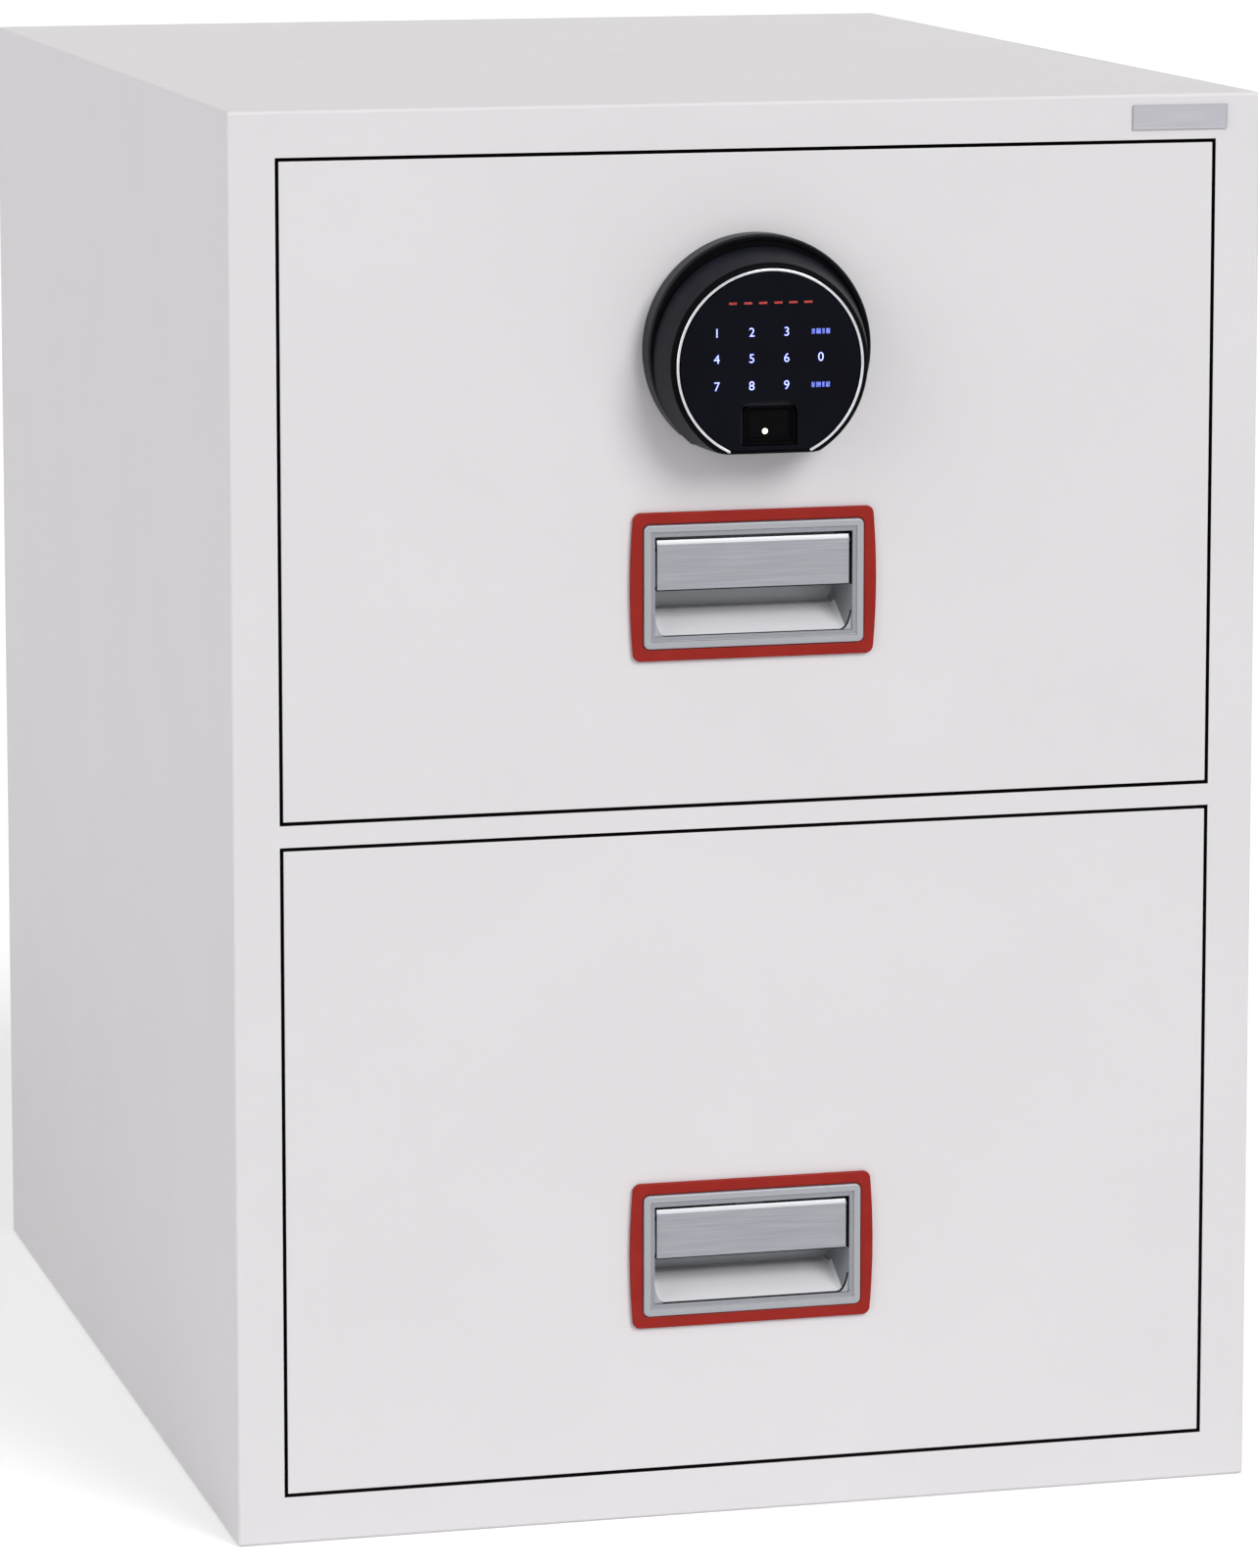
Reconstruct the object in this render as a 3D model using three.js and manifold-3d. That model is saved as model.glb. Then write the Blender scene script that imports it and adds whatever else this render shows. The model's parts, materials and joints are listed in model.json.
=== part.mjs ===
// Fireproof filing cabinet with two drawers, an electronic lock and lever handles.
// Millimetres, +Z up. The origin is the middle of the base. The drawers face -Y and pull out that way.
import * as THREE from 'three';
import { mergeVertices } from 'three/addons/utils/BufferGeometryUtils.js';
import Module from 'manifold-3d';

const wasm = await Module();
wasm.setup();

// Clearances
const fit = 0.3; // between pieces that sit against each other
const run = 0.5; // round pieces that slide or turn
const past = 1; // how far a cut runs past the face that it opens

// Casing: one folded steel body whose front face frames the two drawers
const cabinetWidth = 530;
const cabinetDepth = 678;
const cabinetHeight = 716;
const casingSheet = 1.5;
const casingEdge = 3;
const frameSide = 24;
const frameTop = 23.2;
const frameBottom = 24.2;
const frameMiddle = 11.4;
const jambDepth = 27;

// Bays: a steel liner in the insulation behind each drawer front, with a seat round its mouth
const linerSheet = 1.2;
const seatSide = 34;
const seatEnd = 24;
const seatLap = 4;
const backWall = 60;

// Drawer heads: an outer skin, an inner pan that plugs the bay mouth, insulation between them
const revealGap = 1.3;
const headSheet = 1.2;
const skinDepth = 23;
const skinEdge = 2;
const plugDepth = 32;
const plugGap = 4;
const sealInset = 6;
const sealWidth = 14;

// Trays for hanging files
const traySheet = 1.2;
const trayLift = 12;
const trayEndGap = 17.7; // behind the tray, to the end of the bay
const trayTopGap = 28.6; // above the tray's sides, to the roof of the bay
const railThickness = 2;
const railHeight = 18;
const railRise = 10;
const railInset = 12;

// Telescopic slides, three members each side
const slideThickness = 12.7;
const slideHeight = 45;
const slideSheet = 1.5;
const slideReach = 10;
const slideInset = 6; // of the slides from the front of the tray
const slideEndInset = 9; // of the slides from the back of the tray
const slideLift = 95;

// Handles, the same on both drawers
const handleDrop = 52.4; // below the middle of the drawer front
const bezelCorner = 61.3;
const bezelMiddle = 63.6;
const bezelHalfHeight = 37.3;
const bezelRadius = 4;
const bezelProud = 2.5;
const lipHalfWidth = 56.8;
const lipHalfHeight = 31.1;
const lipRadius = 3;
const lipProud = 3.6;
const cupHalfWidth = 51;
const cupHalfHeight = 25;
const cupWall = 1.8;
const cupDepth = 30;
const scoopStart = 2;
const scoopEnd = 20;
const scoopRise = 10.4;
const flapGap = 1.4;
const flapHeight = 26.2;
const flapTopGap = 1.2;
const flapProud = 1.2;
const flapSheet = 2.5;
const flapBevel = 2;
const flapLip = 5;
const flapLipHeight = 1.8;
const hingeDepth = 3.5;
const hingeDrop = 5; // from the roof of the cup to the pin
const pinRadius = 1.5;
const barrelRadius = 3;
const springRadius = 2.3;
const springWire = 0.4;
const springPitch = 1.3;
const springTurns = 10;
const springNotch = 1; // how far the flap is hollowed behind the spring

// Latch of each drawer: a bar that the flap draws, and its keeper in the left jamb
const latchRise = 12;
const latchDepth = 11;
const latchThickness = 5;
const latchHeight = 10;
const latchThrow = 8;
const keeperWall = 2;

// Lock on the upper drawer: its bolt drops through the middle rail into the lower drawer's head
const boltWidth = 12;
const boltThickness = 6;
const boltX = 80;
const boltDepth = 11;
const boltThrow = 24;
const boltInCase = 30;
const ferruleWall = 1.5;
const lockCaseWidth = 60;
const lockCaseHeight = 72;
const lockCaseThickness = 18;
const lockCaseDepth = 5;
const lockCaseRise = 16.5;

// Keypad unit of the lock
const keypadRise = 66; // above the middle of the upper drawer front
const baseRadius = 57.2;
const baseDepth = 12;
const baseBevel = 1.6;
const housingRise = 62;
const housingRadius = 55.8;
const faceRise = 60.1;
const faceRadius = 48.4;
const faceProud = 31.5;
const housingWall = 2.4;
const chinRise = 16.5; // height of the flat cut along the bottom of the unit
const ringRadius = 47;
const ringWidth = 1.8;
const ringProud = 0.4;
const ringOpening = 18.3;
const panelThickness = 2;
const fingerHalfWidth = 13.5;
const fingerHeight = 19;
const fingerLift = 4.2;
const fingerDepth = 5;
const boardRadius = 34;
const boardThickness = 1.6;
const batteryWidth = 48;
const batteryHeight = 25;
const batteryThickness = 8;
const batteryLift = 22;
const leadRadius = 2;
const leadX = 24;
const leadDepth = 14;

// Name plate on the top rail, left bare
const plateWidth = 50;
const plateHeight = 12.4;
const plateThickness = 0.8;
const plateInset = 18;

// Worked out from the sizes above
const front = -cabinetDepth / 2;
const back = cabinetDepth / 2;
const openingWidth = cabinetWidth - 2 * frameSide;
const openingHeight = (cabinetHeight - frameTop - frameBottom - frameMiddle) / 2;
const bayWidth = openingWidth - 2 * seatSide;
const bayHeight = openingHeight - 2 * seatEnd;
const bayEnd = cabinetDepth - backWall;
const seatFront = jambDepth + fit;
const skinWidth = openingWidth - 2 * revealGap;
const skinHeight = openingHeight - 2 * revealGap;
const plugWidth = bayWidth - 2 * plugGap;
const plugHeight = bayHeight - 2 * plugGap;
const plugEnd = skinDepth + plugDepth;
const trayStart = plugEnd + fit;
const trayLength = bayEnd - trayEndGap - trayStart;
const trayHeight = bayHeight - trayLift - trayTopGap;
const trayWidth = bayWidth - 2 * (slideThickness + 2 * fit);
const slideStart = trayStart + slideInset;
const slideLength = trayLength - slideInset - slideEndInset;
const boltWell = run + ferruleWall;
const boardRear = -baseDepth - baseBevel;

const lower = { name: 'lower', middle: frameBottom + openingHeight / 2, locked: false };
const upper = { name: 'upper', middle: cabinetHeight - frameTop - openingHeight / 2, locked: true };
const levels = [lower, upper];

// Distance behind the front face, as a coordinate
const behind = (distance) => front + distance;

// Finishes
const finish = (color, roughness, metalness) =>
  () => new THREE.MeshStandardMaterial({ color, roughness, metalness });
const whitePaint = finish(0xe0dfe1, 0.55, 0.0);
const liningPaint = finish(0xb9bbbf, 0.6, 0.0);
const insulationGrey = finish(0xa9a49a, 0.95, 0.0);
const zincSteel = finish(0xb4b7bb, 0.4, 1.0);
const redPlastic = finish(0x9a2119, 0.5, 0.0);
const silverPaint = finish(0x9a9ca1, 0.45, 0.5);
const brushedFlap = finish(0xaeb0b5, 0.38, 0.8);
const blackPlastic = finish(0x17181c, 0.4, 0.0);
const blackGlass = finish(0x0b0c14, 0.12, 0.0);
const chromeRing = finish(0xd8dade, 0.15, 1.0);
const boardGreen = finish(0x24523a, 0.6, 0.0);
const sealGrey = finish(0x5a5856, 0.9, 0.0);
const plateSilver = finish(0xa8abb0, 0.35, 0.9);

// Block from its lowest to its highest x, y and z
function block([x0, x1], [y0, y1], [z0, z1]) {
  const shape = new THREE.BoxGeometry(x1 - x0, y1 - y0, z1 - z0);
  return shape.translate((x0 + x1) / 2, (y0 + y1) / 2, (z0 + z1) / 2);
}

// Closed solid that can be joined and cut
function solid(geometry) {
  const bare = geometry.clone();
  bare.deleteAttribute('normal');
  bare.deleteAttribute('uv');
  const merged = mergeVertices(bare, 1e-4);
  return new wasm.Manifold(new wasm.Mesh({
    numProp: 3,
    vertProperties: Float32Array.from(merged.attributes.position.array),
    triVerts: Uint32Array.from(merged.index.array),
  }));
}

const solidBlock = (x, y, z) => solid(block(x, y, z));

// Geometry of a joined and cut solid
function shapeOf(body) {
  const mesh = body.getMesh();
  const shape = new THREE.BufferGeometry();
  shape.setAttribute('position', new THREE.BufferAttribute(mesh.vertProperties, 3));
  shape.setIndex(new THREE.BufferAttribute(mesh.triVerts, 1));
  return shape;
}

// Outline drawn in x and z, pushed along y from y0 to y1
function alongY(outline, y0, y1, curveSegments = 4) {
  const options = { depth: y1 - y0, bevelEnabled: false, curveSegments };
  return new THREE.ExtrudeGeometry(outline, options).rotateX(Math.PI / 2).translate(0, y1, 0);
}

// Outline drawn in y and z, pushed along x from x0 to x1
function alongX(outline, x0, x1, curveSegments = 4) {
  const options = { depth: x1 - x0, bevelEnabled: false, curveSegments };
  const turn = new THREE.Matrix4().set(0, 0, 1, x0, 1, 0, 0, 0, 0, 1, 0, 0, 0, 0, 0, 1);
  return new THREE.ExtrudeGeometry(outline, options).applyMatrix4(turn);
}

// Round bar along x, centred at y and z
function barAlongX(radius, x0, x1, y, z, sides = 24) {
  const shape = new THREE.CylinderGeometry(radius, radius, x1 - x0, sides);
  return shape.rotateZ(Math.PI / 2).translate((x0 + x1) / 2, y, z);
}

// Round bar along y, centred at x and z
function barAlongY(radius, y0, y1, x, z, sides = 24) {
  const shape = new THREE.CylinderGeometry(radius, radius, y1 - y0, sides);
  return shape.translate(x, (y0 + y1) / 2, z);
}

function polygon(points) {
  return new THREE.Shape(points.map(([u, v]) => new THREE.Vector2(u, v)));
}

// Rectangle with rounded corners round the point (0, middle)
function roundedRect(halfWidth, halfHeight, radius, middle = 0) {
  const outline = new THREE.Shape();
  outline.moveTo(-halfWidth + radius, middle - halfHeight);
  outline.lineTo(halfWidth - radius, middle - halfHeight);
  outline.quadraticCurveTo(halfWidth, middle - halfHeight, halfWidth, middle - halfHeight + radius);
  outline.lineTo(halfWidth, middle + halfHeight - radius);
  outline.quadraticCurveTo(halfWidth, middle + halfHeight, halfWidth - radius, middle + halfHeight);
  outline.lineTo(-halfWidth + radius, middle + halfHeight);
  outline.quadraticCurveTo(-halfWidth, middle + halfHeight, -halfWidth, middle + halfHeight - radius);
  outline.lineTo(-halfWidth, middle - halfHeight + radius);
  outline.quadraticCurveTo(-halfWidth, middle - halfHeight, -halfWidth + radius, middle - halfHeight);
  return outline;
}

// Block centred on x = 0 and z = middle, from one distance behind the front to another
function centred(width, height, d0, d1, middle) {
  return solidBlock(
    [-width / 2, width / 2], [behind(d0), behind(d1)], [middle - height / 2, middle + height / 2]);
}

// Sheet pan open at the back, with rounded corners and a rounded front edge
function pan(width, height, depth, sheet, edge, middle) {
  const outline = roundedRect(width / 2 - edge, height / 2 - edge, edge / 4, middle);
  const options = { depth, bevelThickness: edge, bevelSize: edge, bevelSegments: 3, curveSegments: 2 };
  const slab = new THREE.ExtrudeGeometry(outline, options).rotateX(Math.PI / 2);
  const rear = depth + 2 * edge + past;
  return solid(slab.translate(0, behind(depth + edge), 0))
    .subtract(centred(width - 2 * sheet, height - 2 * sheet, sheet, rear, middle))
    .subtract(centred(2 * width, 2 * height, depth, rear, middle));
}

const handleMiddle = (level) => level.middle - handleDrop;
const bayFloor = (level) => level.middle - bayHeight / 2;

// Space round the lock bolt, widened by a margin
function boltSpace(margin, z0, z1) {
  return solidBlock(
    [boltX - margin, boltX + boltWidth + margin],
    [behind(boltDepth - margin), behind(boltDepth + boltThickness + margin)],
    [z0, z1]);
}

const boltTip = upper.middle - skinHeight / 2 + run;
const railBottom = lower.middle + openingHeight / 2;
const railTop = upper.middle - openingHeight / 2;
const caseBottom = upper.middle + lockCaseRise;
const boltTop = caseBottom + boltInCase;

// Space round a latch bar, widened by a margin, out to a given x
function latchSpace(level, margin, x0, x1) {
  const middle = handleMiddle(level) + latchRise;
  return solidBlock(
    [x0, x1],
    [behind(latchDepth - margin), behind(latchDepth + latchThickness + margin)],
    [middle - latchHeight / 2 - margin, middle + latchHeight / 2 + margin]);
}

const latchNose = run - skinWidth / 2;
const latchTail = -(cupHalfWidth + cupWall + 2 * fit + latchThrow + run);
const keeperOuter = -(openingWidth / 2 + casingSheet + fit);
const keeperReach = latchThrow + run + keeperWall;

// Steel body: top, bottom, sides and front frame in one, with jambs folded back round each drawer
function outerCasing() {
  let body = pan(cabinetWidth, cabinetHeight, cabinetDepth, casingSheet, casingEdge, cabinetHeight / 2);
  for (const level of levels) {
    const jamb = centred(openingWidth + 2 * casingSheet, openingHeight + 2 * casingSheet,
      casingSheet / 2, jambDepth, level.middle);
    body = body.add(jamb);
  }
  for (const level of levels) {
    body = body
      .subtract(centred(openingWidth, openingHeight, -casingSheet, jambDepth + casingSheet, level.middle))
      .subtract(latchSpace(level, run, keeperOuter, past - openingWidth / 2));
  }
  return shapeOf(body.subtract(boltSpace(boltWell + fit, railBottom - past, railTop + past)));
}

function backPanel() {
  const inset = casingSheet + fit;
  return block([inset - cabinetWidth / 2, cabinetWidth / 2 - inset],
    [back - casingSheet, back], [inset, cabinetHeight - inset]);
}

// Cast block that fills the space between the casing and the bay liners
function fireInsulation() {
  const inset = casingSheet + fit;
  let body = solidBlock([inset - cabinetWidth / 2, cabinetWidth / 2 - inset],
    [behind(inset), back - inset], [inset, cabinetHeight - inset]);
  for (const level of levels) {
    const pocket = 2 * (casingSheet + fit);
    const lap = 2 * (seatLap + fit);
    const wall = 2 * (linerSheet + fit);
    body = body
      .subtract(centred(openingWidth + pocket, openingHeight + pocket, 0, seatFront, level.middle))
      .subtract(centred(openingWidth + lap, openingHeight + lap,
        jambDepth, seatFront + linerSheet + fit, level.middle))
      .subtract(centred(bayWidth + wall, bayHeight + wall,
        seatFront, bayEnd + linerSheet + fit, level.middle))
      .subtract(latchSpace(level, run + keeperWall + fit,
        keeperOuter - keeperReach - fit, -openingWidth / 2));
  }
  return shapeOf(body.subtract(boltSpace(boltWell + fit, railBottom, railTop)));
}

// Bay box with the flange that the drawer's seal closes against
function bayLiner(level) {
  return shapeOf(centred(bayWidth + 2 * linerSheet, bayHeight + 2 * linerSheet,
    seatFront, bayEnd + linerSheet, level.middle)
    .add(centred(openingWidth + 2 * seatLap, openingHeight + 2 * seatLap,
      seatFront, seatFront + linerSheet, level.middle))
    .subtract(centred(bayWidth, bayHeight, 0, bayEnd, level.middle)));
}

function namePlate() {
  const right = cabinetWidth / 2 - plateInset;
  const middle = cabinetHeight - frameTop / 2;
  const outline = new THREE.Shape();
  outline.moveTo(right - plateWidth, middle - plateHeight / 2);
  outline.lineTo(right, middle - plateHeight / 2);
  outline.lineTo(right, middle + plateHeight / 2);
  outline.lineTo(right - plateWidth, middle + plateHeight / 2);
  return alongY(outline, front - plateThickness - fit, front - fit);
}

// Steel sleeve that guides the lock bolt through the middle rail
function boltFerrule() {
  return shapeOf(boltSpace(boltWell, railBottom, railTop)
    .subtract(boltSpace(run, railBottom - past, railTop + past)));
}

// Box behind the left jamb that the latch bar enters
function latchKeeper(level) {
  return shapeOf(latchSpace(level, run + keeperWall, keeperOuter - keeperReach, keeperOuter)
    .subtract(latchSpace(level, run, keeperOuter - keeperReach + keeperWall, keeperOuter + past)));
}

// Channel section on one side of the bay: web and lip are distances in from the bay wall
function slideMember(level, side, web, lip, halfHeight, start, length) {
  const turn = Math.sign(lip - web);
  const middle = bayFloor(level) + slideLift;
  const at = (distance, height) => [side * (bayWidth / 2 - distance), middle + height];
  const inner = halfHeight - slideSheet;
  const outline = polygon([
    at(web, -halfHeight), at(lip, -halfHeight), at(lip, -inner), at(web + turn * slideSheet, -inner),
    at(web + turn * slideSheet, inner), at(lip, inner), at(lip, halfHeight), at(web, halfHeight),
  ]);
  return alongY(outline, behind(start), behind(start + length));
}

const cabinetMember = (level, side) =>
  slideMember(level, side, fit, slideReach, slideHeight / 2, slideStart, slideLength);
const middleMember = (level, side) =>
  slideMember(level, side, fit + slideSheet + run, slideReach + fit,
    slideHeight / 2 - slideSheet - run, slideStart, slideLength);
const drawerMember = (level, side) =>
  slideMember(level, side, slideThickness + fit, fit + 2 * (slideSheet + run),
    slideHeight / 2 - 2 * (slideSheet + run), slideStart, slideLength);

// Outer front of a drawer, with the window for its handle and the holes for latch and lock
function headSkin(level) {
  const room = cupWall + run;
  const window = roundedRect(cupHalfWidth + room, cupHalfHeight + room, run, handleMiddle(level));
  let body = pan(skinWidth, skinHeight, skinDepth, headSheet, skinEdge, level.middle)
    .subtract(solid(alongY(window, behind(-past), behind(headSheet + past), 2)))
    .subtract(latchSpace(level, run, -openingWidth / 2, latchNose + 2 * headSheet));
  if (level.locked) {
    body = body
      .subtract(boltSpace(run, railTop, boltTip + 2 * headSheet))
      .subtract(solid(leadHole(-past, headSheet + past)));
  } else {
    body = body.subtract(boltSpace(run, level.middle + skinHeight / 2 - 2 * headSheet, railBottom));
  }
  return shapeOf(body);
}

const leadHole = (d0, d1) =>
  barAlongY(2 * leadRadius, behind(d0), behind(d1), leadX, upper.middle + keypadRise, 16);

function headInnerPan(level) {
  const inset = 2 * (headSheet + fit);
  const flange = skinDepth - headSheet;
  return shapeOf(centred(skinWidth - inset, skinHeight - inset, flange, skinDepth, level.middle)
    .add(centred(plugWidth, plugHeight, flange, plugEnd, level.middle))
    .subtract(centred(plugWidth - 2 * headSheet, plugHeight - 2 * headSheet,
      0, plugEnd - headSheet, level.middle)));
}

function headInsulation(level) {
  const skinInset = 2 * (headSheet + fit);
  const cup = handleMiddle(level);
  const cupRoom = cupWall + 2 * fit;
  let body = centred(skinWidth - skinInset, skinHeight - skinInset,
    headSheet + fit, skinDepth - headSheet - fit, level.middle)
    .add(centred(plugWidth - skinInset, plugHeight - skinInset,
      headSheet + fit, plugEnd - headSheet - fit, level.middle))
    .subtract(centred(2 * (cupHalfWidth + cupRoom), 2 * (cupHalfHeight + cupRoom),
      0, cupDepth + cupRoom, cup))
    .subtract(latchSpace(level, run, -openingWidth / 2, -cupHalfWidth));
  if (level.locked) {
    const caseX = boltX + boltWidth / 2;
    body = body
      .subtract(boltSpace(run, railTop, boltTop))
      .subtract(solidBlock(
        [caseX - lockCaseWidth / 2 - fit, caseX + lockCaseWidth / 2 + fit],
        [behind(lockCaseDepth - fit), behind(lockCaseDepth + lockCaseThickness + fit)],
        [caseBottom - fit, caseBottom + lockCaseHeight + fit]))
      .subtract(solidBlock([leadX - 2 * leadRadius, caseX],
        [behind(0), behind(leadDepth + 2 * leadRadius)],
        [level.middle + keypadRise - 2 * leadRadius, level.middle + keypadRise + 2 * leadRadius]));
  } else {
    const top = level.middle + skinHeight / 2;
    body = body.subtract(boltSpace(run, railBottom - boltThrow, top));
  }
  return shapeOf(body);
}

// Strip that swells in a fire, on the back of the head, all round the plug
function fireSeal(level) {
  const width = bayWidth + 2 * sealInset;
  const height = bayHeight + 2 * sealInset;
  return shapeOf(centred(width + 2 * sealWidth, height + 2 * sealWidth,
    skinDepth + fit, seatFront - fit, level.middle)
    .subtract(centred(width, height, skinDepth, seatFront, level.middle)));
}

const trayFloor = (level) => bayFloor(level) + trayLift;

function tray(level) {
  const floor = trayFloor(level);
  const end = trayStart + trayLength;
  return shapeOf(solidBlock([-trayWidth / 2, trayWidth / 2],
    [behind(trayStart), behind(end)], [floor, floor + trayHeight])
    .subtract(solidBlock([traySheet - trayWidth / 2, trayWidth / 2 - traySheet],
      [behind(trayStart + traySheet), behind(end - traySheet)],
      [floor + traySheet, floor + 2 * trayHeight])));
}

// Bar along the top of one side of the tray, for the hooks of hanging files
function fileRail(level, side) {
  const outer = side * (trayWidth / 2 - traySheet - fit);
  const inner = outer - side * railThickness;
  const top = trayFloor(level) + trayHeight + railRise;
  return block([Math.min(outer, inner), Math.max(outer, inner)],
    [behind(trayStart + railInset), behind(trayStart + trayLength - railInset)],
    [top - railHeight, top]);
}

// Red surround whose sides bow outwards
function handleBezel(level) {
  const middle = handleMiddle(level);
  const bow = 2 * bezelMiddle - bezelCorner;
  const low = middle - bezelHalfHeight;
  const high = middle + bezelHalfHeight;
  const flat = bezelCorner - bezelRadius;
  const outline = new THREE.Shape();
  outline.moveTo(-flat, low);
  outline.lineTo(flat, low);
  outline.quadraticCurveTo(bezelCorner, low, bezelCorner, low + bezelRadius);
  outline.quadraticCurveTo(bow, middle, bezelCorner, high - bezelRadius);
  outline.quadraticCurveTo(bezelCorner, high, flat, high);
  outline.lineTo(-flat, high);
  outline.quadraticCurveTo(-bezelCorner, high, -bezelCorner, high - bezelRadius);
  outline.quadraticCurveTo(-bow, middle, -bezelCorner, low + bezelRadius);
  outline.quadraticCurveTo(-bezelCorner, low, -flat, low);
  outline.holes.push(roundedRect(lipHalfWidth + fit, lipHalfHeight + fit, lipRadius, middle));
  return alongY(outline, behind(-bezelProud), behind(-fit), 6);
}

// Grey frame and pocket, with the scoop that leads the fingers up behind the flap
function handleCup(level) {
  const middle = handleMiddle(level);
  const floor = middle - cupHalfHeight;
  const rim = roundedRect(lipHalfWidth, lipHalfHeight, lipRadius, middle);
  const scoop = polygon([
    [behind(scoopStart), floor - cupWall / 2], [behind(cupDepth + cupWall / 2), floor - cupWall / 2],
    [behind(cupDepth + cupWall / 2), floor + scoopRise], [behind(scoopEnd), floor + scoopRise],
    [behind(scoopStart), floor],
  ]);
  const sides = cupHalfWidth + cupWall / 2;
  return shapeOf(solid(alongY(rim, behind(-lipProud), behind(-fit)))
    .add(centred(2 * (cupHalfWidth + cupWall), 2 * (cupHalfHeight + cupWall),
      -fit - past, cupDepth + cupWall, middle))
    .subtract(centred(2 * cupHalfWidth, 2 * cupHalfHeight, -2 * lipProud, cupDepth, middle))
    .add(solid(alongX(scoop, -sides, sides)))
    .subtract(solid(hingeBar(level, pinRadius + fit, cupHalfWidth + 2 * cupWall))));
}

// Round bar on the flap's hinge line
function hingeBar(level, radius, halfLength, sides = 24) {
  const z = handleMiddle(level) + cupHalfHeight - hingeDrop;
  return barAlongX(radius, -halfLength, halfLength, behind(hingeDepth), z, sides);
}

// Lever that swings out at its lower edge, with a barrel for the pin and a hollow for the spring
function handleFlap(level) {
  const half = cupHalfWidth - flapGap;
  const top = handleMiddle(level) + cupHalfHeight - flapTopGap;
  const bottom = top - flapHeight;
  const face = behind(-flapProud);
  const rear = behind(flapSheet - flapProud);
  const lip = face + flapLip;
  const outline = polygon([
    [face, bottom], [lip, bottom], [lip, bottom + flapLipHeight], [rear, bottom + flapLipHeight],
    [rear, top], [face + flapBevel, top], [face, top - flapBevel],
  ]);
  const spring = springTurns * springPitch / 2 + 2 * springWire + run;
  return shapeOf(solid(alongX(outline, -half, half))
    .add(solid(hingeBar(level, barrelRadius, half)))
    .subtract(solidBlock([-spring, spring], [rear - springNotch, behind(hingeDepth + 2 * barrelRadius)],
      [top - hingeDrop - barrelRadius, top + barrelRadius]))
    .subtract(solid(hingeBar(level, pinRadius + fit, 2 * half))));
}

const flapPin = (level) => hingeBar(level, pinRadius, cupHalfWidth + cupWall - fit);

// Helix round the hinge pin
class SpringPath extends THREE.Curve {
  constructor(y, z) {
    super();
    this.y = y;
    this.z = z;
  }

  getPoint(t, target = new THREE.Vector3()) {
    const angle = 2 * Math.PI * springTurns * t;
    return target.set(
      springPitch * springTurns * (t - 0.5),
      this.y + springRadius * Math.cos(angle),
      this.z + springRadius * Math.sin(angle));
  }
}

function flapSpring(level) {
  const z = handleMiddle(level) + cupHalfHeight - hingeDrop;
  const section = new THREE.Shape().absarc(0, 0, springWire, 0, 2 * Math.PI);
  return new THREE.ExtrudeGeometry(section, {
    steps: springTurns * 8,
    curveSegments: 5,
    extrudePath: new SpringPath(behind(hingeDepth), z),
  });
}

const latchBar = (level) => shapeOf(latchSpace(level, 0, latchNose, latchTail));

// Case of the lock's motor, open below for the bolt and hollowed for the drive
function lockCase() {
  const caseX = boltX + boltWidth / 2;
  return shapeOf(solidBlock(
    [caseX - lockCaseWidth / 2, caseX + lockCaseWidth / 2],
    [behind(lockCaseDepth), behind(lockCaseDepth + lockCaseThickness)],
    [caseBottom, caseBottom + lockCaseHeight])
    .subtract(boltSpace(run, caseBottom - past, boltTop + run)));
}

const lockBolt = () => shapeOf(boltSpace(0, boltTip, boltTop));

// Cable from the circuit board back through the skin and across to the lock case
function keypadLead() {
  const z = upper.middle + keypadRise;
  const turn = 2 * leadRadius;
  const caseSide = boltX + boltWidth / 2 - lockCaseWidth / 2;
  const path = new THREE.CurvePath();
  const corner = new THREE.Vector3(leadX, behind(leadDepth), z);
  const bendStart = new THREE.Vector3(leadX, behind(leadDepth - turn), z);
  const bendEnd = new THREE.Vector3(leadX + turn, behind(leadDepth), z);
  path.add(new THREE.LineCurve3(new THREE.Vector3(leadX, behind(boardRear + fit), z), bendStart));
  path.add(new THREE.QuadraticBezierCurve3(bendStart, corner, bendEnd));
  path.add(new THREE.LineCurve3(bendEnd, new THREE.Vector3(caseSide - fit, behind(leadDepth), z)));
  const section = new THREE.Shape().absarc(0, 0, leadRadius, 0, 2 * Math.PI);
  return new THREE.ExtrudeGeometry(section, { steps: 24, curveSegments: 8, extrudePath: path });
}

// Space below the flat cut of the keypad unit
const chinCut = () => solidBlock([-2 * baseRadius, 2 * baseRadius],
  [front - 2 * faceProud, front + faceProud],
  [upper.middle + keypadRise - 2 * baseRadius, upper.middle + chinRise]);

// Frustum from one circle to another that may sit higher or lower
function obliqueCone(rearRadius, rearRise, rearD, frontRadius, frontRise, frontD, sides = 48) {
  const length = rearD - frontD;
  const cone = new THREE.CylinderGeometry(rearRadius, frontRadius, length, sides);
  const place = cone.attributes.position;
  for (let i = 0; i < place.count; i += 1) {
    const share = place.getY(i) / length + 0.5;
    place.setZ(i, place.getZ(i) + THREE.MathUtils.lerp(frontRise, rearRise, share));
  }
  return solid(cone.translate(0, behind(rearD - length / 2), upper.middle));
}

// Mounting disc with a bevelled front edge
function keypadBase() {
  const level = upper.middle + keypadRise;
  return shapeOf(solid(barAlongY(baseRadius, behind(-baseDepth), behind(-fit), 0, level, 48))
    .add(obliqueCone(baseRadius, keypadRise, -baseDepth, baseRadius - baseBevel, keypadRise,
      -baseDepth - baseBevel + fit))
    .subtract(chinCut())
    .subtract(solid(leadHole(-2 * baseDepth, past))));
}

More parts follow.
